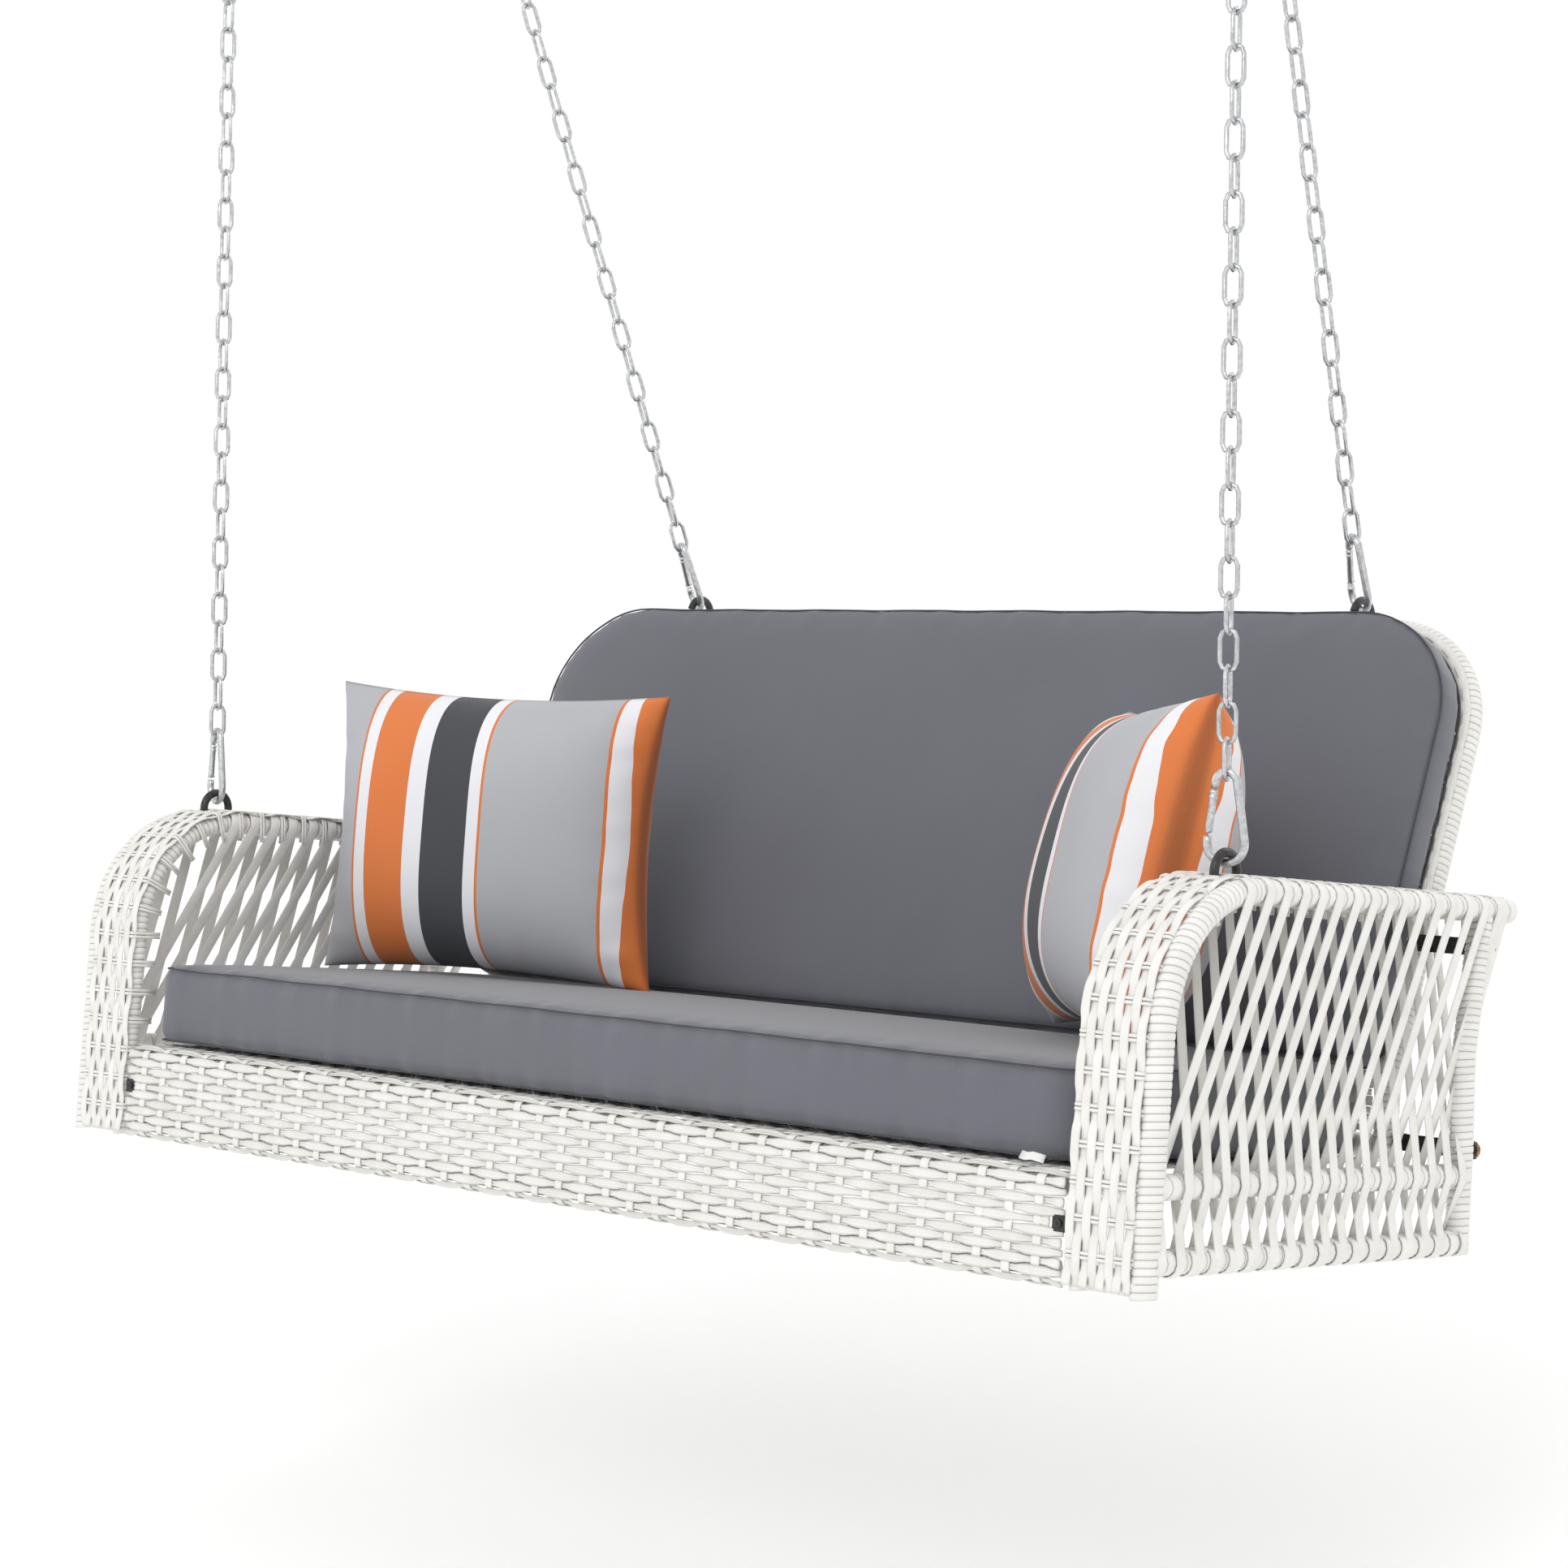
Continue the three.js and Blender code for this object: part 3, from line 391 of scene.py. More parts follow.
OUTER_X, INNER_X = ARM_OUT - WOUND_RADIUS, ARM_IN + WOUND_RADIUS
ARM_TUBE_Z = ARM_TOP - WOUND_RADIUS
REAR_POST = [(0.487, 0.017), (0.484, 0.110), (0.478, 0.190), (0.489, 0.285), (0.493, 0.312)]
RAIL_FRONT, RAIL_REAR, POST_BEND = 0.012, 0.487, 0.05
WIDE_WRAP = 0.01325
ALONG_X, ALONG_Y, ALONG_Z = np.eye(3)

for side_name, side in SIDES.items():
    post = rounded([(side * OUTER_X, y, z) for y, z in REAR_POST], POST_BEND, 4)
    bend = arm_hoop(side * OUTER_X)[:-1]
    shoulder, arm_end = bend[-1], arm_hoop(side * OUTER_X)[-1]
    rails = [[(side * OUTER_X, y, z) for y in (RAIL_FRONT, RAIL_REAR)] for z in (MID_RAIL_Z, LOW_RAIL_Z)]
    front_tie = [(side * INNER_X, WOUND_RADIUS, WOUND_RADIUS), (side * OUTER_X, WOUND_RADIUS, WOUND_RADIUS)]
    rear_tie = [(side * INNER_X, ARM_BACK - WOUND_RADIUS, ARM_TUBE_Z),
                (side * OUTER_X, ARM_BACK - WOUND_RADIUS, ARM_TUBE_Z)]
    tubes = [wound_tube(bend, ALONG_X),
             wound_tube([shoulder, arm_end], ALONG_X, wrap=WIDE_WRAP, groove=0.0007),
             wound_tube(arm_hoop(side * INNER_X), ALONG_X, WOUND_RADIUS - 0.0015),
             *[wound_tube(rail, ALONG_X, WOUND_RADIUS - 0.0005, WIDE_WRAP, groove=0.0004) for rail in rails],
             wound_tube(post, ALONG_X, WOUND_RADIUS - 0.0005),
             wound_tube(front_tie, ALONG_Y, WOUND_RADIUS - 0.001),
             wound_tube(rear_tie, ALONG_Y)]
    join_wound(f"arm_tubes_{side_name}", tubes, [f"arm_frame_{side_name}"])

# ---------------------------------------------------------------------------
# Arms: woven bands
# Flat cane strips run from the foot of the post over the corner to the arm's end. Pairs of thin cane
# cross them, over one strip and under the next, and turn down round the edge tubes.
# ---------------------------------------------------------------------------
STRIP_PITCH = 0.0079
STRIP_COUNT = 8
STRIP_HALF, STRIP_THICK = 0.0042, 0.0008
PAIR_ROW = 0.0285
WEAVE_LIFT = 0.0013
POST_RUN = ARM_TOP - CORNER
CORNER_RUN = CORNER * np.pi / 2
BAND_RUN = POST_RUN + CORNER_RUN + ARM_BACK - CORNER


def on_band(along, lift):
    """y and z of the band's surface: up the post, round the corner, back along the arm. lift stands out
    from it: y = corner - (R + lift) cos a + what lies past the corner, z likewise with sin a."""
    angle = np.clip((along - POST_RUN) / CORNER, 0, np.pi / 2)
    y = CORNER - (CORNER + lift) * np.cos(angle) + np.maximum(along - POST_RUN - CORNER_RUN, 0)
    z = POST_RUN + (CORNER + lift) * np.sin(angle) - np.maximum(POST_RUN - along, 0)
    return y, z


def over_under(phase):
    """A weave's rise and fall: a cosine pressed flat at its top and bottom."""
    return np.tanh(2.0 * np.cos(phase)) / np.tanh(2.0)


def flat_cane(half_width, half_thick):
    """The section of a flat cane strip: nearly straight faces with rounded edges, nine points."""
    w, t = half_width, half_thick
    return np.array([(-w, -t * 0.3), (-w * 0.8, -t), (w * 0.8, -t), (w, -t * 0.3),
                     (w, t * 0.3), (w * 0.8, t), (0, t * 1.25), (-w * 0.8, t), (-w, t * 0.3)])


# How strongly painted shade darkens a strand's edges, and which points of a section lie on them, by its
# point count.
EDGE_SHADE = 0.38
EDGE_POINTS = {5: (0, 2), 6: (0, 3), 9: (0, 3, 4, 8)}


def strand_marks(skin, seed):
    """A tone for each strand of a swept skin, and painted shade along each strand's two edges: one value of
    each per vertex. The edges are the points of the section at its least and greatest width."""
    strands, rows, points = skin.shape[:3]
    tone = np.random.default_rng(seed).random(strands)
    edges = np.isin(np.arange(points), EDGE_POINTS[points]) * EDGE_SHADE
    return np.repeat(tone, rows * points), np.tile(edges, strands * rows)


def shell_of(skin):
    """A swept skin of closed sections with its quads and end faces."""
    strands, rows, points = skin.shape[:3]
    return skin, [grid_quads(strands, rows, points), end_caps(strands, rows, points)]


def mirrored(shell, side):
    """A shell as it is for the +X side, or mirrored for the -X side with its faces turned round."""
    skin, faces = shell
    return skin * (side, 1, 1), faces if side > 0 else [group[:, ::-1] for group in faces]


def woven_piece(name, shells, replaced, seed):
    """One woven object from shells of strands, each strand with a tone of its own."""
    tones, crease_shades = zip(*[strand_marks(skin, seed + k) for k, (skin, _) in enumerate(shells)])
    # The crease mark carries painted shade along the strands' edges.
    marks = {"tint": np.concatenate(tones), "crease_shade": np.concatenate(crease_shades)}
    piece = build(name, shells, cane_woven, marks=marks)
    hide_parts(*replaced)


PAIR_HALF_GAP, PAIR_RADIUS, PAIR_FLAT, PAIR_LIFT = 0.0017, 0.00155, 0.75, 0.0014
FIRST_STRIP = ARM_IN + 0.0045
BAND_EDGES = ARM_IN + 0.001, ARM_IN + 0.001 + STRIP_COUNT * STRIP_PITCH
TURN_DOWN, TURN_DEPTH = 0.003, 0.004

for side_name, side in SIDES.items():
    along = np.linspace(0.004, BAND_RUN - 0.008, 260)
    number = np.arange(STRIP_COUNT)[:, None]
    lift = WEAVE_LIFT * over_under(np.pi * (along[None] / PAIR_ROW + number))
    y, z = on_band(along[None], lift)
    x = np.broadcast_to(FIRST_STRIP + number * STRIP_PITCH, y.shape)
    pinch = 1 - 0.07 * (lift < 0) * np.abs(lift) / WEAVE_LIFT
    narrowed = np.stack([pinch, np.ones_like(pinch)], -1)
    section = flat_cane(STRIP_HALF, STRIP_THICK)[None, None] * narrowed[:, :, None]
    strips = shell_of(sweep(np.stack([x, y, z], -1), section, ALONG_X))
    rows = np.arange(1, int(BAND_RUN / PAIR_ROW))
    across = np.linspace(BAND_EDGES[0] - TURN_DOWN, BAND_EDGES[1] + TURN_DOWN, 56)
    pair_at = (rows[:, None] * PAIR_ROW + PAIR_HALF_GAP * np.array([-1, 1])).ravel()
    strip_phase = (across - FIRST_STRIP) / STRIP_PITCH
    pair_lift = -PAIR_LIFT * over_under(np.pi * (strip_phase[None] + np.repeat(rows, 2)[:, None]))
    past_edge = np.maximum(BAND_EDGES[0] - across, across - BAND_EDGES[1]) / TURN_DOWN
    pair_lift = pair_lift - TURN_DEPTH * np.clip(past_edge + 0.9, 0, 2)[None] ** 3
    pair_y, pair_z = on_band(pair_at[:, None], pair_lift)
    pair_x = np.broadcast_to(across[None], pair_y.shape)
    front, behind = [np.stack([0 * pair_at, *on_band(pair_at + step, 0.0)], -1)
                     for step in (0.001, -0.001)]
    pairs = shell_of(sweep(np.stack([pair_x, pair_y, pair_z], -1), circle(PAIR_RADIUS, 6, PAIR_FLAT),
                           unit(front - behind)[:, None]))
    woven_piece(f"arm_band_{side_name}", [mirrored(shell, side) for shell in (strips, pairs)],
                [f"arm_weave_{side_name}"], 1)

# ---------------------------------------------------------------------------
# Arms: lattices
# Two families of flat cane strips close the side. One goes from the outer top tube to the inside of the
# middle rail, the other from the inner top tube to its outside; below the rail they change sides.
# ---------------------------------------------------------------------------
LATTICE_PITCH = 0.0265
LATTICE_HALF, LATTICE_THICK = 0.0062, 0.0007
LATTICE_WRAP = WOUND_RADIUS + 0.0006
LATTICE_FIRST, LATTICE_COUNT = 0.034, 17
# How far back of its foot each family's top lies, how near the arm's end it may come, and how far along
# the low rail each family lies from its foot.
OUTER_BACK, INNER_BACK, OUTER_LAST, INNER_LAST = 0.074, 0.070, 0.035, 0.020
LATTICE_REACH, LOW_RAIL_LAST = 0.017, 0.481


def arc_run(centre_x, centre_z, from_degrees, to_degrees, y_start, y_end, points):
    """Points round a tube from one angle to another, drifting along it: centre + r (cos a, sin a)."""
    angle = np.radians(np.linspace(from_degrees, to_degrees, points))[None]
    drift = np.linspace(0, 1, points)[None]
    x = centre_x + LATTICE_WRAP * np.cos(angle) + 0 * centre_z[:, None]
    y = y_start[:, None] + (y_end - y_start)[:, None] * drift
    return np.stack([x, y, centre_z[:, None] + LATTICE_WRAP * np.sin(angle)], -1)


def join_runs(runs, between):
    """Runs of points joined by straight stretches of evenly spread points."""
    part = np.linspace(0, 1, between + 2)[1:-1][None, :, None]
    joined = [runs[0]]
    for before, after in zip(runs, runs[1:]):
        start, end = before[:, -1:], after[:, :1]
        joined += [start + (end - start) * part, after]
    return np.concatenate(joined, 1)


def tube_height(y):
    """Height of the arm tube's middle at a distance back: along the corner's arc, then level."""
    inward = np.clip(CORNER - y, 0, CORNER - WOUND_RADIUS)
    return ARM_TOP - CORNER + np.sqrt((CORNER - WOUND_RADIUS) ** 2 - inward ** 2)


def lattice_strips(seed):
    """Both families of strips of one arm, for the +X side."""
    chance = np.random.default_rng(seed)
    foot = LATTICE_FIRST + LATTICE_PITCH * np.arange(LATTICE_COUNT)
    foot = foot + chance.uniform(-0.0012, 0.0012, LATTICE_COUNT)
    level = np.full(LATTICE_COUNT, MID_RAIL_Z)
    low = np.full(LATTICE_COUNT, LOW_RAIL_Z)
    top = foot + OUTER_BACK + chance.uniform(-0.002, 0.002, LATTICE_COUNT)
    top = np.minimum(top, ARM_BACK - OUTER_LAST)
    outer = join_runs([arc_run(OUTER_X, tube_height(top), 200, -4, top + 0.004, top, 9),
                       arc_run(OUTER_X, level, 178, 204, foot, foot, 4),
                       arc_run(OUTER_X, low, 20, -230, foot - LATTICE_REACH, foot - LATTICE_REACH, 11)], 7)
    foot = foot + LATTICE_PITCH / 2
    top = np.minimum(foot + INNER_BACK, ARM_BACK - INNER_LAST)
    reach = np.minimum(foot + LATTICE_REACH, LOW_RAIL_LAST)
    inner = join_runs([arc_run(INNER_X, tube_height(top), 20, 200, top + 0.003, top, 8),
                       arc_run(OUTER_X, level, 22, -24, foot, foot, 4),
                       arc_run(OUTER_X, low, 160, 410, reach, reach, 11)], 7)
    return outer, inner


for side_name, side in SIDES.items():
    strips = [shell_of(sweep(paths, flat_cane(LATTICE_HALF, LATTICE_THICK), ALONG_Y))
              for paths in lattice_strips(5 + side)]
    woven_piece(f"side_strips_{side_name}", [mirrored(shell, side) for shell in strips],
                [f"side_lattice_{side_name}"], 11)

# ---------------------------------------------------------------------------
# Seat: frame tubes under the deck
# Wound tubes run along the front and rear edges and across the seat at its ends and thirds.
# ---------------------------------------------------------------------------
SEAT_RAIL = 0.008
seat_points = levelled("seat_frame")
SEAT_END = seat_points[:, 0].max() - SEAT_RAIL
SEAT_REAR = seat_points[:, 1].max() - SEAT_RAIL
FRONT_RAIL_Y, FRONT_RAIL_Z, REAR_RAIL_Z, SILL_Z = 0.012, 0.079, 0.071, 0.014

seat_tubes = [[(-SEAT_END, FRONT_RAIL_Y, z), (SEAT_END, FRONT_RAIL_Y, z)] for z in (FRONT_RAIL_Z, SILL_Z)]
seat_tubes += [[(-SEAT_END, SEAT_REAR, REAR_RAIL_Z), (SEAT_END, SEAT_REAR, REAR_RAIL_Z)]]
cross_tubes = [[(x, FRONT_RAIL_Y, FRONT_RAIL_Z), (x, SEAT_REAR, REAR_RAIL_Z)]
               for x in SEAT_END * np.array([-1, -1 / 3, 1 / 3, 1])]
join_wound("seat_tubes",
           [wound_tube(line, ALONG_Y, SEAT_RAIL, points=10) for line in seat_tubes]
           + [wound_tube(line, ALONG_X, SEAT_RAIL, points=10) for line in cross_tubes], ["seat_frame"])

# ---------------------------------------------------------------------------
# Seat: woven apron
# A sleeve woven round the front tubes: pairs of thin cane run the length of the bench over flat stakes
# that follow the sleeve's section. Each end has a notch for the bracket to the arm.
# ---------------------------------------------------------------------------
apron_points = levelled("apron_weave")
APRON_HALF, APRON_DEEP = apron_points[:, 0].max(), apron_points[:, 1].max()
APRON_HIGH = apron_points[:, 2].max()
APRON_CORNER = 0.010
ROW_PITCH, ROW_SPREAD, ROW_RISE = 0.0079, 0.22, 0.0013
STAKE_PITCH, STAKE_HALF, STAKE_RISE = 0.029, 0.0044, 0.55 * ROW_RISE
APRON_STAKES = 39
NOTCH_Z, NOTCH_HALF, NOTCH_DEEP = 0.050, 0.0075, 0.0125


def double_cane(half_width, half_thick):
    """The section of two thin canes side by side: two humps with a groove between, nine points."""
    w, t = half_width, half_thick
    return np.array([(-w, 0), (-w * 0.5, -t), (w * 0.5, -t), (w, 0), (w * 0.78, t), (w * 0.28, t),
                     (0, t * 0.25), (-w * 0.28, t), (-w * 0.78, t)])


INSET = 0.002
# The step of a woven line's points, the short way over which its slope is taken, and the apron's gap
# to the edges of its solid.
LINE_STEP, SLOPE_STEP, APRON_GAP = 0.0015, 0.001, 0.001
apron_line = rounded([(0, APRON_DEEP - APRON_GAP, APRON_HIGH - INSET), (0, INSET, APRON_HIGH - INSET),
                      (0, INSET, INSET), (0, APRON_DEEP - APRON_GAP, INSET)], APRON_CORNER - INSET)


def on_line(line, along, lift):
    """Points along a line in the YZ plane, lifted out square to it on its outer side."""
    path, length = resample(line, LINE_STEP)
    tangent = unit(np.gradient(path, axis=0))
    out = np.cross(tangent, ALONG_X)
    at = [np.interp(along, length, values[:, k]) for values in (path, out) for k in (1, 2)]
    return at[0] + lift * at[2], at[1] + lift * at[3]


def weave_on(line, half_length, rows, stakes, start, per_stake=7, notch=False):
    """A plain weave on a line swept along X. Rows of paired cane run along X and rise and fall by a
    pressed cosine of x, broad where they rise and narrow where they dip; stakes follow the line and do
    the opposite. Returns both as shells."""
    x = np.linspace(-half_length, half_length, int(2 * half_length / STAKE_PITCH * per_stake))
    along = start + ROW_PITCH * (np.arange(rows)[:, None] + 0.5)
    row_lift = ROW_RISE * over_under(np.pi * (x[None] / STAKE_PITCH + np.arange(rows)[:, None]))
    y, z = on_line(line, along, row_lift)
    row_x = np.broadcast_to(x[None], y.shape).copy()
    if notch:
        near = np.abs(z[:, :1] - NOTCH_Z) < NOTCH_HALF
        row_x = np.where(near, row_x * (half_length - NOTCH_DEEP) / half_length, row_x)
    low_y, low_z = on_line(line, along - SLOPE_STEP, 0 * along)
    high_y, high_z = on_line(line, along + SLOPE_STEP, 0 * along)
    row_side = np.stack([0 * low_y, high_y - low_y, high_z - low_z], -1)
    spread = 0.46 * ROW_PITCH * (1 + ROW_SPREAD * row_lift / ROW_RISE)
    section = double_cane(1.0, 0.0011) * np.stack([spread, np.ones_like(spread)], -1)[:, :, None]
    row_shell = shell_of(sweep(np.stack([row_x, y, z], -1), section, -unit(row_side)))
    stake_x = (np.arange(stakes) - (stakes - 1) / 2) * STAKE_PITCH
    reach = rows * ROW_PITCH
    stake_along = np.linspace(start - 0.002, start + reach + 0.002, int(rows * 3) + 1)
    row_phase = (stake_along[None] - start) / ROW_PITCH - 0.5
    stake_lift = -STAKE_RISE * over_under(np.pi * (row_phase + stake_x[:, None] / STAKE_PITCH))
    y, z = on_line(line, np.broadcast_to(stake_along[None], stake_lift.shape), stake_lift)
    stake_paths = np.stack([np.broadcast_to(stake_x[:, None], y.shape), y, z], -1)
    stake_shell = shell_of(sweep(stake_paths, flat_cane(STAKE_HALF, 0.0007), ALONG_X))
    return [row_shell, stake_shell]


apron_run = resample(apron_line, LINE_STEP)[1][-1]
apron_rows = int((apron_run - 2 * INSET) / ROW_PITCH)
apron_shells = weave_on(apron_line, APRON_HALF - APRON_GAP, apron_rows, APRON_STAKES, INSET, notch=True)
woven_piece("apron_rows", apron_shells, ["apron_weave"], 21)

# ---------------------------------------------------------------------------
# Seat: woven deck
# Flat cane woven both ways over the seat frame, under the cushion.
# ---------------------------------------------------------------------------
deck_level = levelled("seat_deck")
deck_low, deck_high = deck_level.min(0), deck_level.max(0)
DECK_STRIP, DECK_PITCH, DECK_RISE, DECK_MARGIN = 0.0062, 0.0155, 0.0009, (0.002, 0.002, 0)
deck_z = (deck_low[2] + deck_high[2]) / 2


def flat_weave(low, high, pitch, lift, z):
    """Flat strips both ways on a level sheet, rising and falling past each other by cosines."""
    across, back = [np.arange(low[k] + pitch / 2, high[k], pitch) for k in (0, 1)]
    shells = []
    for fixed, along, swap in ((back, across, 0), (across, back, 1)):
        fine = np.linspace(along[0] - pitch / 2, along[-1] + pitch / 2, len(along) * 3 + 1)
        number = np.arange(len(fixed))[:, None]
        rise = lift * np.cos(np.pi * ((fine[None] - along[0]) / pitch + number + swap))
        held = np.broadcast_to(fixed[:, None], rise.shape)
        run = np.broadcast_to(fine[None], rise.shape)
        paths = np.stack([run, held, z + rise] if swap == 0 else [held, run, z + rise], -1)
        section = flat_cane(DECK_STRIP, 0.0006)[::2]
        shells.append(shell_of(sweep(paths, section, ALONG_Y if swap == 0 else -ALONG_X)))
    return shells


deck_shells = flat_weave(deck_low + DECK_MARGIN, deck_high - DECK_MARGIN, DECK_PITCH, DECK_RISE, deck_z)
woven_piece("deck_strips", deck_shells, ["seat_deck"], 31)

# ---------------------------------------------------------------------------
# Back: frame and weave
# A wound hoop leans back 17.7 degrees above upright legs, with a brace across it. Inside it the back is
# woven like the apron, with flat upright stakes and paired rows.
# ---------------------------------------------------------------------------
RAKE = np.radians(17.7)
BACK_FOOT = np.array([0.441, 0.170])
BACK_HALF = levelled("back_frame")[:, 0].max() - WOUND_RADIUS
BACK_DEPTH, BACK_TOP, BACK_CORNER, BACK_BEND, BACK_LOW_Z = 0.054, 0.442, 0.104, 0.012, 0.101


def on_back(up_back, depth):
    """y and z on the raked back: up it from its foot, and in from the front of its cushion."""
    return (BACK_FOOT[0] + up_back * np.sin(RAKE) + depth * np.cos(RAKE),
            BACK_FOOT[1] + up_back * np.cos(RAKE) - depth * np.sin(RAKE))


bend_y, bend_z = on_back(BACK_BEND, BACK_DEPTH)
top_y, top_z = on_back(BACK_TOP, BACK_DEPTH)
hoop = rounded([(-BACK_HALF, bend_y, bend_z), (-BACK_HALF, top_y, top_z), (BACK_HALF, top_y, top_z),
                (BACK_HALF, bend_y, bend_z)], BACK_CORNER, 16)
foot_ends = [[(side * BACK_HALF, bend_y, BACK_LOW_Z - 0.003), (side * BACK_HALF, bend_y, bend_z + 0.003)]
             for side in (-1, 1)]
low_bar = [(-BACK_HALF, bend_y, BACK_LOW_Z), (BACK_HALF, bend_y, BACK_LOW_Z)]
brace_y, brace_z = on_back(BACK_TOP / 2, BACK_DEPTH + 0.004)
brace = [(-BACK_HALF, brace_y, brace_z), (BACK_HALF, brace_y, brace_z)]
back_out = np.array([0, np.cos(RAKE), -np.sin(RAKE)])
HOOP_STRIPS, HOOP_STRIP_HALF, HOOP_CROSSING = 7, 0.0036, 0.0124


def hoop_strips(line):
    """Flat cane along a hoop, woven over and under its winding: strips at even angles from the front
    round the outer side, each at radius + lift * pressed cosine of its length."""
    path, length = resample(line, 0.0031)
    tangent = unit(np.gradient(path, axis=0))
    outer = np.cross(back_out, tangent)
    skins = []
    for number, angle in enumerate(np.radians(np.linspace(-100, 40, HOOP_STRIPS))):
        out = np.cos(angle) * outer + np.sin(angle) * back_out
        lift = 0.0007 + 0.0009 * over_under(np.pi * (length / HOOP_CROSSING + number))
        strand = path + out * (WOUND_RADIUS + lift)[:, None]
        skins.append(sweep(strand[None], flat_cane(HOOP_STRIP_HALF, 0.0006), np.cross(out, tangent)))
    return shell_of(np.concatenate(skins))


woven_piece("back_hoop_strips", [hoop_strips(hoop)], ["back_frame"], 61)
back_tubes = [wound_tube(hoop, back_out), *[wound_tube(line, ALONG_X) for line in foot_ends],
              wound_tube(low_bar, ALONG_Y), wound_tube(brace, ALONG_Y, SEAT_RAIL)]
join_wound("back_tubes", back_tubes, ["back_frame"])

BACK_WEAVE_HALF = levelled("back_weave")[:, 0].max()
WEAVE_DEPTH = 0.0475
WEAVE_CORNER = 0.092
BACK_STAKES = 38
sheet_low = on_back(0.002, WEAVE_DEPTH)
sheet_top = on_back(BACK_TOP - 0.013, WEAVE_DEPTH)
back_line = rounded([(0, sheet_low[0], 0.113), (0, *sheet_low), (0, *sheet_top)], 0.03, 4)
back_run = resample(back_line, LINE_STEP)[1][-1]
back_rows = int(back_run / ROW_PITCH)
rows_shell, stakes_shell = weave_on(back_line, BACK_WEAVE_HALF, back_rows, BACK_STAKES, 0.001, per_stake=4)


def under_hoop(skin):
    """Gathers the strands' ends under the rounded top corners: x is held within the hoop's half width
    at each height, which is w - r + sqrt(r^2 - rise^2) within the corner."""
    rise = np.clip(skin[..., 2] - (sheet_top[1] - WEAVE_CORNER), 0, WEAVE_CORNER * 0.999)
    width = BACK_WEAVE_HALF - WEAVE_CORNER + np.sqrt(WEAVE_CORNER ** 2 - rise ** 2)
    return np.concatenate([np.clip(skin[..., 0], -width, width)[..., None], skin[..., 1:]], -1)


woven_piece("back_rows", [(under_hoop(rows_shell[0]), rows_shell[1])], ["back_weave"], 41)
woven_piece("back_stakes", [(under_hoop(stakes_shell[0]), stakes_shell[1])], ["back_weave"], 43)

# ---------------------------------------------------------------------------
# Back lugs, apron brackets and bolts
# Black painted steel tabs join the arms to the back and to the apron's ends. The back's tabs take
# dome-headed socket bolts from behind; the apron's have small black screws.
# ---------------------------------------------------------------------------
def metal_grain_group():
    """Tone and roughness of bare or painted metal: a base colour clouded by a darker one, with fine
    specks, both from noise on object coordinates."""
    group, given, give = new_group("metal_grain", {"Tone": (0.6, 0.6, 0.6, 1), "Dull": (0.4, 0.4, 0.4, 1),
                                                   "Cloud Scale": 90.0, "Smooth": 0.25, "Rough": 0.5})
    place = add_node(group, "TexCoord")
    cloud = add_node(group, "TexNoise", {"Vector": place, "Scale": given["Cloud Scale"], "Detail": 5.0,
                                         "Roughness": 0.65})
    speck = add_node(group, "TexNoise", {"Vector": place, "Scale": 1400.0, "Detail": 2.0})
    spread = add_node(group, "MapRange", {"Value": cloud, "From Min": 0.35, "From Max": 0.68})
    gloss = add_node(group, "MapRange", {"Value": spread, "To Min": given["Smooth"],
                                         "To Max": given["Rough"]})
    return give(mix_colours(group, spread, given["Tone"], given["Dull"]), gloss, speck)


METAL_GRAIN = metal_grain_group()


def metal_material(name, tone, dull, metallic, smooth, rough, cloud_scale=90.0, grain=0.05):
    """Metal clouded between two tones and between two roughnesses."""
    look = {"Tone": (*tone, 1), "Dull": (*dull, 1), "Cloud Scale": cloud_scale, "Smooth": smooth,
            "Rough": rough}
    return surface(name, METAL_GRAIN, grain, 0.0003, look, Metallic=metallic)[0]


black_paint = metal_material("black_paint", (0.012, 0.012, 0.013), (0.03, 0.03, 0.032), 0.0, 0.16, 0.38)
bolt_copper = metal_material("bolt_copper", (0.46, 0.23, 0.12), (0.22, 0.10, 0.05), 1.0, 0.28, 0.5, 220.0)

for side_name in SIDES:
    for node in (f"apron_bracket_{side_name}", f"back_lug_upper_{side_name}", f"back_lug_lower_{side_name}"):
        for face_slot in frame["nodes"][node].material_slots:
            face_slot.material = black_paint


def turned(profile, turns, centre, axis, start):
    """A closed shape of revolution: each (radius, height) of the profile swung round an axis from a
    start direction. The first and last radius may be zero, which closes the pole."""
    axis, start = unit(np.asarray(axis, float)), unit(np.asarray(start, float))
    angle = np.arange(turns) * 2 * np.pi / turns
    ring = np.cos(angle)[:, None] * start + np.sin(angle)[:, None] * np.cross(axis, start)
    profile = np.asarray(profile, float)
    skin = np.asarray(centre) + profile[:, None, :1] * ring[None] + profile[:, None, 1:] * axis
    return skin[None], [grid_quads(1, len(profile), turns), end_caps(1, len(profile), turns)]


def bolt_dome(centre, radius, axis, start, socket=0.3):
    """A domed head with a hexagonal socket sunk in its top. The outline is in parts of the radius."""
    outline = np.array([(0.6, 0), (1, 0), (1, 0.06), (0.95, 0.3), (0.8, 0.48), (0.6, 0.6),
                        (socket * 1.12, 0.66), (socket, 0.65), (socket, 0.35), (0.02, 0.33)]) * radius
    skin, faces = turned(outline, 24, centre, axis, start)
    angle = np.arange(24) * 2 * np.pi / 24
    hexagon = np.cos(np.pi / 6) / np.cos((angle + np.pi / 6) % (np.pi / 3) - np.pi / 6)
    for row in (-3, -2):
        from_axis = skin[0, row] - centre
        height = (from_axis @ axis)[:, None] * axis
        skin[0, row] = centre + height + (from_axis - height) * hexagon[:, None]
    return skin, faces


def shank(start, end, radius, points=12):
    """A straight round rod between two points."""
    return shell_of(sweep(np.array([[start, end]]), circle(radius, points), ALONG_X))


def middle_of(points):
    """The middle of the box round some points."""
    return (points.min(0) + points.max(0)) / 2


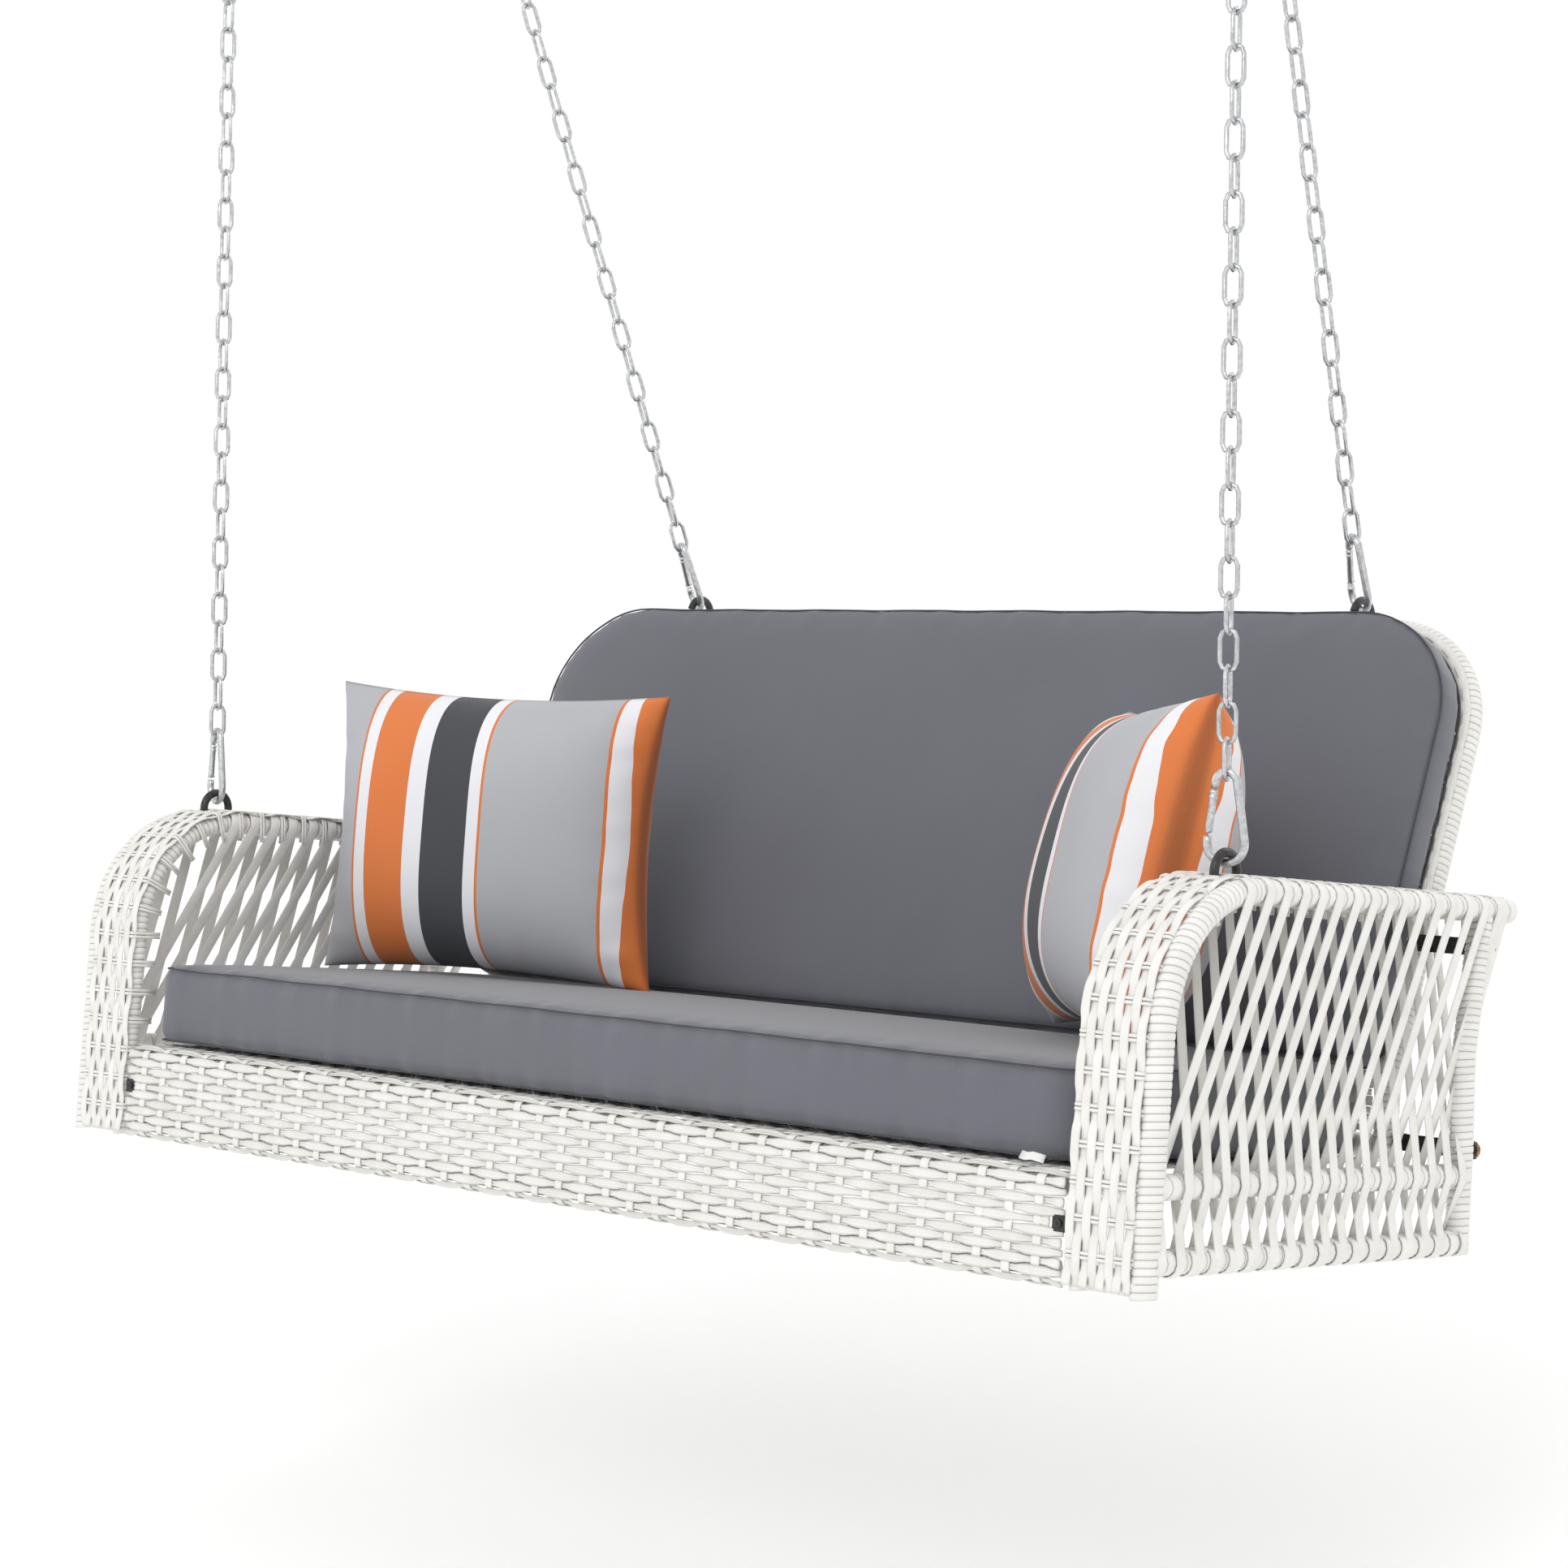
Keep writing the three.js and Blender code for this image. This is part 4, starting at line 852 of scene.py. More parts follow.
def finish_piece(name, shells, material, replaced, body=RIGID):
    """One smooth piece that stands for CAD nodes."""
    piece = build(name, shells, material, body=body)
    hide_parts(*replaced)


BOLT_RADIUS, BOLT_HEIGHT, BOLT_SHANK = 0.0085, 0.006, 0.003
SCREW_RADIUS, SCREW_SHANK, SCREW_FACE = 0.0036, 0.0017, 0.0012
OVERLAP = 0.001

for side_name in SIDES:
    for level in ("upper", "lower"):
        node = f"back_bolt_{level}_{side_name}"
        points = levelled(node)
        head = middle_of(points) * (1, 0, 1) + (0, points[:, 1].max() - BOLT_HEIGHT, 0)
        dome = bolt_dome(head, BOLT_RADIUS, ALONG_Y, ALONG_X)
        rod = shank(head - (0, 0.026, 0), head + (0, OVERLAP, 0), BOLT_SHANK)
        finish_piece(f"back_bolt_head_{level}_{side_name}", [dome, rod], bolt_copper, [node])
    node = f"apron_screw_{side_name}"
    head = middle_of(levelled(node)) * (1, 0, 1) + (0, SCREW_FACE, 0)
    dome = bolt_dome(head, SCREW_RADIUS, -ALONG_Y, ALONG_X, 0.4)
    rod = shank(head + (0, 0.003, 0), head - (0, OVERLAP / 2, 0), SCREW_SHANK, 10)
    finish_piece(f"apron_screw_head_{side_name}", [dome, rod], black_paint, [node])

# ---------------------------------------------------------------------------
# Eye loops on the bench
# Thick bent rod, gloss black, its legs let into the front of each arm and into the back's top tube.
# ---------------------------------------------------------------------------
EYE_ROD, EYE_BOW = 0.004, 0.016
EYE_FRONT = (0.621, 0.126, ARM_TOP + 0.003)
EYE_REAR_X, EYE_REAR_RISE = 0.424, 0.014


def eye_line(centre, leg_direction, leg):
    """Down one leg, half round the bow and down the other, in the YZ plane."""
    angle = np.linspace(0, np.pi, 25)[:, None]
    across = np.array([0, leg_direction[2], -leg_direction[1]])
    bow = centre + EYE_BOW * (np.cos(angle) * across - np.sin(angle) * leg_direction)
    return np.concatenate([[centre + across * EYE_BOW + leg_direction * leg], bow,
                           [centre - across * EYE_BOW + leg_direction * leg]])


def eye_centre(end, side):
    """The middle of an eye loop's bow, on the front of an arm or over the back's top tube."""
    if end == "front":
        return np.array([side * EYE_FRONT[0], *EYE_FRONT[1:]])
    return np.array([side * EYE_REAR_X, *on_back(BACK_TOP + EYE_REAR_RISE, BACK_DEPTH)])


down_back = np.array([0, -np.sin(RAKE), -np.cos(RAKE)])
EYE_LEGS = {"front": (-ALONG_Z, 0.017), "rear": (down_back, 0.001)}

for side_name, side in SIDES.items():
    for end, (leg_direction, leg) in EYE_LEGS.items():
        line = eye_line(eye_centre(end, side), leg_direction, leg)
        loop = shell_of(sweep(line[None], circle(EYE_ROD, 14), ALONG_X))
        finish_piece(f"eye_loop_{end}_{side_name}", [loop], black_paint, [f"eye_{end}_{side_name}"])

# ---------------------------------------------------------------------------
# Snap hooks and chains
# Each line has its own frame: w runs up from the eye loop to the hinge line, u across it. The hook is
# bent zinc-plated wire with a sprung gate on its +u side; the chain's oval links stand at quarter turns.
# ---------------------------------------------------------------------------
HINGE_IN_BENCH = -FOOT
HANGER_X = {"front": 0.606, "rear": 0.515}
HOOK_TURN = {("front", "left"): 253, ("front", "right"): -73, ("rear", "left"): -58, ("rear", "right"): -58}
HOOK_WIRE = 0.0035
HOOK_LOW, HOOK_TOP, HOOK_TOP_AT = 0.0155, 0.009, 0.064
HOOK_LEAN = np.arcsin((HOOK_LOW - HOOK_TOP) / (HOOK_TOP_AT - HOOK_LOW))
GATE_PIN_AT, GATE_NOSE_AT = 0.025, 0.060
HOOK_REST = 0.0073
LINK_WIRE, LINK_HALF = 0.002, 0.007
LINK_PITCH = 0.029
CHAIN_FIRST = 0.0667

zinc = metal_material("zinc", (0.66, 0.67, 0.68), (0.42, 0.43, 0.44), 1.0, 0.22, 0.46, 260.0, 0.12)


def gate_flank(w):
    """The middle of the hook's wire on its gate side at a height w."""
    rise = np.asarray(w, float) - HOOK_LOW * (1 + np.sin(HOOK_LEAN))
    u = HOOK_LOW * np.cos(HOOK_LEAN) - rise * np.tan(HOOK_LEAN)
    return np.stack([u, 0 * u, np.asarray(w, float) + 0 * u], -1)


def bow(centre_w, radius, start, end, steps):
    """An arc in the hook's plane: u = r cos a, w = centre + r sin a."""
    angle = np.linspace(start, end, steps)
    return np.stack([radius * np.cos(angle), 0 * angle, centre_w + radius * np.sin(angle)], -1)


hook_wire = np.concatenate([gate_flank([GATE_NOSE_AT]),
                            bow(HOOK_TOP_AT, HOOK_TOP, HOOK_LEAN, np.pi - HOOK_LEAN, 14),
                            bow(HOOK_LOW, HOOK_LOW, np.pi - HOOK_LEAN, 2 * np.pi + HOOK_LEAN, 26),
                            gate_flank([GATE_PIN_AT - HOOK_WIRE])])
hook_body = shell_of(sweep(hook_wire[None], circle(HOOK_WIRE, 14), ALONG_Y))
pin_at = gate_flank([GATE_PIN_AT])[0]
hook_pin = shank(pin_at - ALONG_Y * HOOK_WIRE, pin_at + ALONG_Y * HOOK_WIRE, 0.0012, 10)
gate_direction = unit(gate_flank([GATE_NOSE_AT])[0] - pin_at)
gate_run = np.array([-1, 0.5, 5, 26.5, 27.2, 28.5, 29.2, 30.5, 31.2, 32.5, 33.2, 34.5]) / 1000
gate_thick = np.array([0.6, 0.86, 0.88, 0.88, 1.0, 1.0, 0.84, 0.84, 1.0, 1.0, 0.8, 0.72]) * HOOK_WIRE
gate_line = pin_at + gate_run[:, None] * gate_direction
gate_skin = sweep(gate_line[None], (circle(1.0, 14)[None] * gate_thick[:, None, None])[None], ALONG_Y)
hook_gate = shell_of(gate_skin)


def stadium(pitch, steps=5):
    """The closed line of a link from the middle of its lower bow: two half turns and two straights."""
    turn = np.linspace(0, np.pi, steps)
    high = pitch + 2 * LINK_WIRE - LINK_HALF
    lower = np.stack([-LINK_HALF * np.cos(turn), 0 * turn, LINK_HALF - LINK_HALF * np.sin(turn)], -1)
    upper = np.stack([LINK_HALF * np.cos(turn), 0 * turn, high + LINK_HALF * np.sin(turn)], -1)
    return np.concatenate([lower, upper])


def link_shell(pitch, starts, turns, sides=6):
    """Closed rings: the stadium's line carried round with a round section, one for each start height,
    each turned about the line by its own angle."""
    line = stadium(pitch)
    tangent = unit(np.roll(line, -1, 0) - np.roll(line, 1, 0))
    normal = np.cross(tangent, ALONG_Y)
    angle = np.arange(sides) * 2 * np.pi / sides
    ring = (line[:, None] + LINK_WIRE * (np.cos(angle)[None, :, None] * ALONG_Y
                                         + np.sin(angle)[None, :, None] * -normal[:, None]))
    cosine, sine = np.cos(turns)[:, None, None], np.sin(turns)[:, None, None]
    u = ring[None, ..., 0] * cosine - ring[None, ..., 1] * sine
    v = ring[None, ..., 0] * sine + ring[None, ..., 1] * cosine
    w = ring[None, ..., 2] + starts[:, None, None]
    return np.stack([u, v, w], -1), [grid_quads(len(starts), len(line), sides, ring=True)]


def on_frame(shell, origin, axes):
    """A shell drawn in a line's own (u, v, w), put in the bench's frame."""
    return origin + shell[0] @ axes, shell[1]


for side_name, side in SIDES.items():
    for end in ("front", "rear"):
        name = f"{end}_{side_name}"
        eye = eye_centre(end, side)
        pivot = np.array([side * HANGER_X[end], *HINGE_IN_BENCH[1:]])
        rise = unit(pivot - eye)
        foot = eye + rise * HOOK_REST
        turn = np.radians(HOOK_TURN[end, side_name])
        plane = np.array([np.sin(turn), np.cos(turn), 0])
        across = unit(plane - rise * (plane @ rise))
        axes = np.array([across, np.cross(rise, across), rise])
        finish_piece(f"hook_{name}", [on_frame(hook_body, foot, axes), on_frame(hook_pin, foot, axes)], zinc,
                     [f"carabiner_body_{name}", f"carabiner_pin_{name}"])
        finish_piece(f"hook_gate_{name}", [on_frame(hook_gate, foot, axes)], zinc,
                     [f"carabiner_gate_{name}"], body=f"gate_{name}")
        reach = np.linalg.norm(pivot - foot) + 0.0028 - CHAIN_FIRST
        count = int(round(reach / LINK_PITCH))
        pitch = reach / count
        number = np.arange(count)
        quarter = np.pi / 2 * (1 + number)
        miss = (turn - quarter[-1] + np.pi / 2) % np.pi - np.pi / 2
        turns = quarter + miss * number / (count - 1)
        links = link_shell(pitch, CHAIN_FIRST + number * pitch, turns)
        finish_piece(f"chain_links_{name}", [on_frame(links, foot, axes)], zinc, [f"chain_{name}"])

# ---------------------------------------------------------------------------
# Ceiling plates
# Two zinc-plated plates screwed up to the ceiling, each with two forged eyes that take the chains.
# ---------------------------------------------------------------------------
PLATE_THICK = 0.006
RING_CENTRE = HINGE[2] + 0.016
RING_BOW = 0.016

EYE_WIRE = 0.004
EYE_STEM = [(0.004, 0), (0.004, 0.006), (0.008, 0.0065), (0.008, 0.009), (0.0072, 0.0096), (0.004, 0.0098),
            (0.004, 0.0155)]
PLATE_SCREW, PLATE_SHANK = 0.0062, 0.003


def finish_overhead(name, shells, node):
    """A zinc-plated piece drawn in the frame's own axes, held by the ceiling."""
    levelled_shells = [((skin - HINGE) @ LEANING.T - FOOT, faces) for skin, faces in shells]
    finish_piece(name, levelled_shells, zinc, [node], body="ceiling_hangers")


for side_name, side in SIDES.items():
    for face_slot in frame["nodes"][f"ceiling_plate_{side_name}"].material_slots:
        face_slot.material = zinc
    for end in ("front", "rear"):
        x = side * HANGER_X[end]
        angle = np.arange(24)[:, None] * 2 * np.pi / 24
        outward = np.cos(angle) * ALONG_X + np.sin(angle) * ALONG_Z
        ring_line = (x, 0, RING_CENTRE) + RING_BOW * outward
        section = circle(EYE_WIRE, 10)
        ring = ring_line[:, None] + section[None, :, :1] * ALONG_Y - section[None, :, 1:] * outward[:, None]
        stem = turned(EYE_STEM, 16, (x, 0, RING_CENTRE + RING_BOW), ALONG_Z, ALONG_X)
        closed_ring = ring[None], [grid_quads(1, 24, 10, ring=True)]
        node = f"ceiling_eye_{end}_{side_name}"
        finish_overhead(f"forged_eye_{end}_{side_name}", [closed_ring, stem], node)
        node = f"ceiling_screw_{end}_{side_name}"
        head = middle_of(corners_of(node)) * (1, 1, 0) - (0, 0, PLATE_THICK + 0.0003)
        finish_overhead(f"plate_screw_{end}_{side_name}",
                        [bolt_dome(head, PLATE_SCREW, -ALONG_Z, ALONG_X, 0.42),
                         shank(head + (0, 0, 0.0058), head - (0, 0, OVERLAP), PLATE_SHANK)], node)

# ---------------------------------------------------------------------------
# Cushions
# The seat and back cushions are boxed foam in a slate grey polyester cover: two panels and a border,
# joined by plain seams. Each is laid out in its own (u, v, w), filled by a cloth simulation with
# pressure inside, then its seams are drawn in and its border puckered along them.
# ---------------------------------------------------------------------------
CLOTH_FRAMES = 20
CUSHION_VOXEL, CUSHION_PRESSURE = 0.0075, 3.0


def fabric_weave_group():
    """A woven cover: crossing threads from two bands on object coordinates, a melange from fine noise,
    broad soft shading, and painted shade in lines where the seam mark is."""
    inputs = {"Tone": (0.15, 0.16, 0.19, 1), "Thread": 900.0, "Melange": 0.12, "Seam Shade": 0.45}
    group, given, give = new_group("fabric_weave", inputs)
    place = add_node(group, "TexCoord")
    band = {"Vector": place, "Scale": given["Thread"], "Distortion": 0.6, "Detail": 1.0}
    threads = [add_node(group, "TexWave", band, bands_direction=direction) for direction in ("X", "Z")]
    crossed = add_node(group, "Math", dict(enumerate(threads)), operation="ADD")
    fleck = add_node(group, "TexNoise", {"Vector": place, "Scale": 700.0, "Detail": 3.0})
    broad = add_node(group, "TexNoise", {"Vector": place, "Scale": 7.0, "Detail": 3.0})
    mixed = add_node(group, "Math", {0: fleck, 1: 0.6, 2: broad}, operation="MULTIPLY_ADD")
    least = add_node(group, "Math", {0: 1.0, 1: given["Melange"]}, operation="SUBTRACT")
    shade = add_node(group, "MapRange", {"Value": mixed, "From Min": 0.5, "From Max": 1.1, "To Min": 1.0,
                                         "To Max": least})
    # Painted shade: the cover is darkened along the seams, where the cloth is drawn in.
    seam = add_node(group, "Attribute", attribute_name="seam")
    dark = add_node(group, "Math", {0: seam, 1: given["Seam Shade"]}, operation="MULTIPLY")
    lit = add_node(group, "Math", {0: shade, 1: dark}, operation="SUBTRACT")
    tone = add_node(group, "VectorMath", {0: given["Tone"], "Scale": lit}, operation="SCALE")
    return give(tone, add_node(group, "MapRange", {"Value": fleck, "To Min": 0.62, "To Max": 0.82}), crossed)


FABRIC_WEAVE = fabric_weave_group()


def fabric_material(name, tone, sheen):
    """A cloth cover with the weave group and some sheen."""
    look = {"Tone": (*tone, 1)}
    return surface(name, FABRIC_WEAVE, 0.10, 0.0003, look, Sheen_Weight=sheen, Sheen_Roughness=0.5)


slate_cover, _ = fabric_material("slate_cover", (0.124, 0.129, 0.152), 0.35)


def plan_outline(half, low, high, low_corner, high_corner, step=0.008):
    """A closed outline in (u, v), straight sides and round corners, in even steps, with its outward
    direction at each point."""
    lower = rounded([(0, low, 0), (half, low, 0), (half, low + low_corner * 1.001, 0)], low_corner, 10)
    upper = rounded([(half, high - high_corner * 1.001, 0), (half, high, 0), (0, high, 0)], high_corner, 14)
    line = np.concatenate([lower, upper])
    mirrored = line[::-1] * (-1, 1, 1)
    around = np.concatenate([line, mirrored[1:]])
    path, _ = resample(around, step)
    path = path[:-1]
    tangent = unit(np.roll(path, -1, 0) - np.roll(path, 1, 0))
    return path[:, :2], np.stack([tangent[:, 1], -tangent[:, 0]], 1)


def loose_object(name, vertices, faces):
    """A plain mesh object from vertices and faces, linked to the scene."""
    mesh = bpy.data.meshes.new(name)
    mesh.from_pydata(np.asarray(vertices).tolist(), [], [list(f) for f in faces])
    loose = bpy.data.objects.new(name, mesh)
    bpy.context.scene.collection.objects.link(loose)
    return loose


def apply_modifiers(loose):
    """Replaces an object's mesh by what its modifiers make of it at the current frame."""
    graph = bpy.context.evaluated_depsgraph_get()
    finished = bpy.data.meshes.new_from_object(loose.evaluated_get(graph))
    loose.modifiers.clear()
    old = loose.data
    loose.data = finished
    bpy.data.meshes.remove(old)


def points_of(mesh):
    """A mesh's vertex positions as an array."""
    points = np.empty(len(mesh.vertices) * 3, np.float32)
    mesh.vertices.foreach_get("co", points)
    return points.reshape(-1, 3).astype(float)


def filled(loose, cap):
    """Remeshes a closed form to even quads and lets a cloth skin swell under pressure, with no gravity.
    No point moves further than the cap. Returns where each vertex was before and where it ends."""
    remesh = loose.modifiers.new("even", "REMESH")
    remesh.mode = "VOXEL"
    remesh.voxel_size = CUSHION_VOXEL
    apply_modifiers(loose)
    before = points_of(loose.data)
    cloth = loose.modifiers.new("cloth", "CLOTH")
    cloth.settings.use_pressure = True
    cloth.settings.uniform_pressure_force = CUSHION_PRESSURE
    cloth.settings.effector_weights.gravity = 0
    cloth.settings.mass = 0.3
    cloth.settings.tension_stiffness = 20
    cloth.settings.compression_stiffness = 20
    cloth.settings.shear_stiffness = 8
    cloth.settings.bending_stiffness = 0.8
    cloth.settings.quality = 5
    scene = bpy.context.scene
    for number in range(1, CLOTH_FRAMES + 1):
        scene.frame_set(number)
    apply_modifiers(loose)
    scene.frame_set(1)
    after = points_of(loose.data)
    move = after - before
    length = np.linalg.norm(move, axis=1, keepdims=True)
    return before, before + move * np.minimum(1, cap / np.maximum(length, 1e-9))


def vertex_normals(mesh, points):
    """Outward directions at the vertices, from the mesh's own normals once its points are set."""
    mesh.vertices.foreach_set("co", points.astype(np.float32).ravel())
    mesh.update()
    normals = np.empty(len(mesh.vertices) * 3, np.float32)
    mesh.vertex_normals.foreach_get("vector", normals)
    return normals.reshape(-1, 3).astype(float)


def distance_to(outline, points, chunk=4000):
    """Shortest distance in the plane from each point to an outline's points, and which one it is."""
    away = [np.linalg.norm(points[k:k + chunk, None] - outline[None], axis=2)
            for k in range(0, len(points), chunk)]
    return np.concatenate([d.min(1) for d in away]), np.concatenate([d.argmin(1) for d in away])


def waves(length, periods, shifts, weights):
    """A sum of sine waves along a seam."""
    return sum(np.sin(length * 2 * np.pi / period + shift) * weight
               for period, shift, weight in zip(periods, shifts, weights))


# The share of a cushion's edge that its seam lies in from both panels, how far the seam's and the
# pucker's marks reach, how deep the seam sinks, and the pucker's waves.
SEAM_IN, SEAM_REACH, PUCKER_REACH, SEAM_SINK = 0.3, 0.0022, 0.022, 0.0016
PUCKER_PERIODS, PUCKER_WEIGHTS = (0.021, 0.034, 0.057, 0.13), (0.5, 0.8, 1.0, 1.0)


def boxed_cushion(name, outline, outward, thick, edge, crown, cap, pucker, seed):
    """A boxed cushion in (u, v, w): the outline carried up from w = 0 to its thickness, its panels
    crowned by a product of two half cosines. Seams run where border and panels meet."""
    seam_in = edge * SEAM_IN
    bulge = np.array([(-edge, 0), (-seam_in, seam_in), (0, edge), (0, thick - edge),
                      (-seam_in, thick - seam_in), (-edge, thick)])
    rings = [np.concatenate([outline + outward * inset, np.full((len(outline), 1), height)], 1)
             for inset, height in bulge]
    count = len(outline)
    vertices = np.concatenate(rings)
    faces = grid_quads(1, len(rings), count).tolist()
    loose = loose_object(name, vertices, faces + [list(range(count))[::-1],
                                                  list(range((len(rings) - 1) * count, len(rings) * count))])
    before, after = filled(loose, cap)
    centre, half = (outline.max(0) + outline.min(0)) / 2, (outline.max(0) - outline.min(0)) / 2
    place = np.clip((before[:, :2] - centre) / half, -1, 1)
    rise = np.prod(np.cos(place * np.pi / 2) ** 0.6, axis=1)
    side = np.clip(before[:, 2] / thick * 2 - 1, -1, 1)
    after[:, 2] += crown * rise * np.clip(side, 0, 1)
    away, number = distance_to(outline, before[:, :2])
    length = np.arange(count) * np.linalg.norm(outline[1] - outline[0])
    chance = np.random.default_rng(seed)
    shifts = chance.uniform(0, 6.28, len(PUCKER_PERIODS))
    puckers = waves(length, PUCKER_PERIODS, shifts, PUCKER_WEIGHTS)

    def near(high, low, reach):
        return sum(np.exp(-(away ** 2 + (before[:, 2] - level) ** 2) / reach ** 2) for level in (high, low))

    # The seam mark sinks the skin at the seams and also darkens the cover there as painted shade.
    seam = near(thick - seam_in, seam_in, SEAM_REACH)
    draw = pucker * puckers[number] * near(thick, 0, PUCKER_REACH) - SEAM_SINK * seam
    return loose, before, after + vertex_normals(loose.data, after) * draw[:, None], seam


def moved_with(ring, before, after, nearest=8, passes=6):
    """A closed ring of points moved as the skin nearest to it moved: the mean move of the nearest
    vertices, then evened along the ring by averaging neighbours."""
    moves = []
    for point in ring:
        away = ((before - point) ** 2).sum(1)
        close = np.argpartition(away, nearest)[:nearest]
        moves.append((after[close] - before[close]).mean(0))
    moves = np.array(moves)
    for _ in range(passes):
        moves = (np.roll(moves, 1, 0) + 2 * moves + np.roll(moves, -1, 0)) / 4
    return ring + moves


def ring_cord(ring, radius=0.0010, points=6):
    """A thin cord along a closed ring, for a seam."""
    around = unit(np.roll(ring, -1, 0) - np.roll(ring, 1, 0))
    side = unit(np.cross(around, ALONG_Z))
    section = circle(radius, points)
    skin = (ring[:, None] + section[None, :, :1] * side[:, None]
            + section[None, :, 1:] * np.cross(side, around)[:, None])
    return skin[None], [grid_quads(1, len(ring), points, ring=True)]


def finish_soft(loose, level_points, marks, material, replaced):
    mesh = loose.data
    mesh.vertices.foreach_set("co", hang(level_points).astype(np.float32).ravel())
    for mark, values in marks.items():
        layer = mesh.attributes.new(mark, "FLOAT", "POINT")
        layer.data.foreach_set("value", np.asarray(values, np.float32))
    mesh.update()
    smooth = loose.modifiers.new("smooth", "SUBSURF")
    smooth.levels = smooth.render_levels = 1
    apply_modifiers(loose)
    loose.data.polygons.foreach_set("use_smooth", np.ones(len(loose.data.polygons), bool))
    loose.data.materials.clear()
    loose.data.materials.append(material)
    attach(loose, RIGID)
    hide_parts(*replaced)


def seam_rings(outline, outward, thick, edge):
    """The two closed lines where a boxed cushion's border meets its panels."""
    inset = outline - outward * edge * 0.3
    return [np.concatenate([inset, np.full((len(outline), 1), height)], 1)
            for height in (edge * 0.3, thick - edge * 0.3)]


# Painted shade: dark cords along the seams stand for the shade in the seam lines.
seam_shade_cloth, _ = fabric_material("seam_shade_cloth", (0.05, 0.052, 0.062), 0.1)
SEAT_PAD = levelled("seat_cushion")
seat_low, seat_high = SEAT_PAD.min(0), SEAT_PAD.max(0)
SEAT_EDGE, SEAT_THICK = 0.008, seat_high[2] - seat_low[2] - 0.003
outline, outward = plan_outline(half=seat_high[0] - 0.004, low=seat_low[1] + 0.003,
                                high=seat_high[1] - 0.004, low_corner=0.026, high_corner=0.045)
seat_pad, before, after, seam = boxed_cushion("seat_pad", outline, outward, SEAT_THICK, SEAT_EDGE,
                                              crown=0.006, cap=0.004, pucker=0.0007, seed=3)
cords = [moved_with(ring, before, after) for ring in seam_rings(outline, outward, SEAT_THICK, SEAT_EDGE)]
lift = np.array([0, 0, seat_low[2] + 0.0005])


def above(points, least):
    """Points with their heights raised to a least one, and then lifted to the seat deck."""
    return np.maximum(points, (-np.inf, -np.inf, least)) + lift


finish_piece("seat_pad_seams", [ring_cord(above(cord, 0.0015)) for cord in cords], seam_shade_cloth,
             ["seat_cushion"])
finish_soft(seat_pad, above(after, 0), {"seam": seam}, slate_cover, ["seat_cushion"])

# A short end of white tape shows under the seat cushion's front edge, beside the sitter's left arm.
tape_line = np.array([(0.526, 0.007, 0.0990), (0.534, 0.003, 0.0985), (0.541, 0.002, 0.0995),
                      (0.547, 0.003, 0.0985), (0.551, 0.005, 0.0975)])
tape_cloth, _ = fabric_material("tape_cloth", (0.80, 0.80, 0.79), 0.1)
tape = shell_of(sweep(tape_line[None], flat_cane(0.0035, 0.0003), (0, 0.5, 1)))
finish_piece("seat_tape", [tape], tape_cloth, ["seat_cushion"])

BACK_PAD = levelled("back_cushion")
BACK_THICK, BACK_EDGE = 0.042, 0.008
PAD_THICK = BACK_THICK - 0.002
pad_half = BACK_PAD[:, 0].max()
outline, outward = plan_outline(half=pad_half - 0.003, low=0.007, high=0.445,
                                low_corner=0.025, high_corner=0.112)
back_pad, before, after, seam = boxed_cushion("back_pad", outline, outward, PAD_THICK, BACK_EDGE,
                                              crown=0.005, cap=0.0035, pucker=0.0004, seed=4)


def lay_on_back(points, least=0.0):
    """A back cushion's (u, v, w) points stood on the rake, its lower edge resting on the seat cushion."""
    pad_y, pad_z = on_back(points[:, 1], BACK_THICK - np.maximum(points[:, 2], least))
    rested = np.maximum(pad_z, seat_high[2] + 0.001 + least)
    return np.stack([points[:, 0], pad_y, np.where(pad_y < seat_high[1], rested, pad_z)], 1)


cords = [moved_with(ring, before, after) for ring in seam_rings(outline, outward, PAD_THICK, BACK_EDGE)]
finish_piece("back_pad_seams", [ring_cord(lay_on_back(cord, 0.0012)) for cord in cords], seam_shade_cloth,
             ["back_cushion"])
finish_soft(back_pad, lay_on_back(after), {"seam": seam}, slate_cover, ["back_cushion"])

# ---------------------------------------------------------------------------
# Pillows
# Two loose pillows of printed canvas, each two panels sewn round the edge and stuffed. The print is
# broad stripes across the long way; a mark runs from 0 to 1 along the pillow and picks the stripe.
# ---------------------------------------------------------------------------
PILLOW_WIDE, PILLOW_HIGH, PILLOW_THICK = 0.380, 0.300, 0.146
ORANGE, WHITE = (0.70, 0.185, 0.040), (0.80, 0.80, 0.83)
CHARCOAL, PALE_GREY = (0.047, 0.050, 0.058), (0.43, 0.435, 0.46)
STRIPES = [(0.0, PALE_GREY), (0.155, ORANGE), (0.164, WHITE), (0.200, ORANGE), (0.328, WHITE),
           (0.382, CHARCOAL), (0.512, WHITE), (0.548, ORANGE), (0.557, PALE_GREY), (0.884, ORANGE),
           (0.893, WHITE), (0.936, ORANGE)]

printed_canvas, canvas_look = fabric_material("printed_canvas", WHITE, 0.1)
canvas_tree = printed_canvas.node_tree
ramp = canvas_tree.nodes.new("ShaderNodeValToRGB")
ramp.color_ramp.interpolation = "CONSTANT"
for number, (position, tone) in enumerate(STRIPES):
    stop = ramp.color_ramp.elements[number] if number < 2 else ramp.color_ramp.elements.new(position)
    stop.position = position
    stop.color = (*tone, 1)
canvas_tree.links.new(add_node(canvas_tree, "Attribute", attribute_name="along"), ramp.inputs["Fac"])
canvas_tree.links.new(ramp.outputs["Color"], canvas_look.inputs["Tone"])
canvas_look.inputs["Melange"].default_value = 0.07


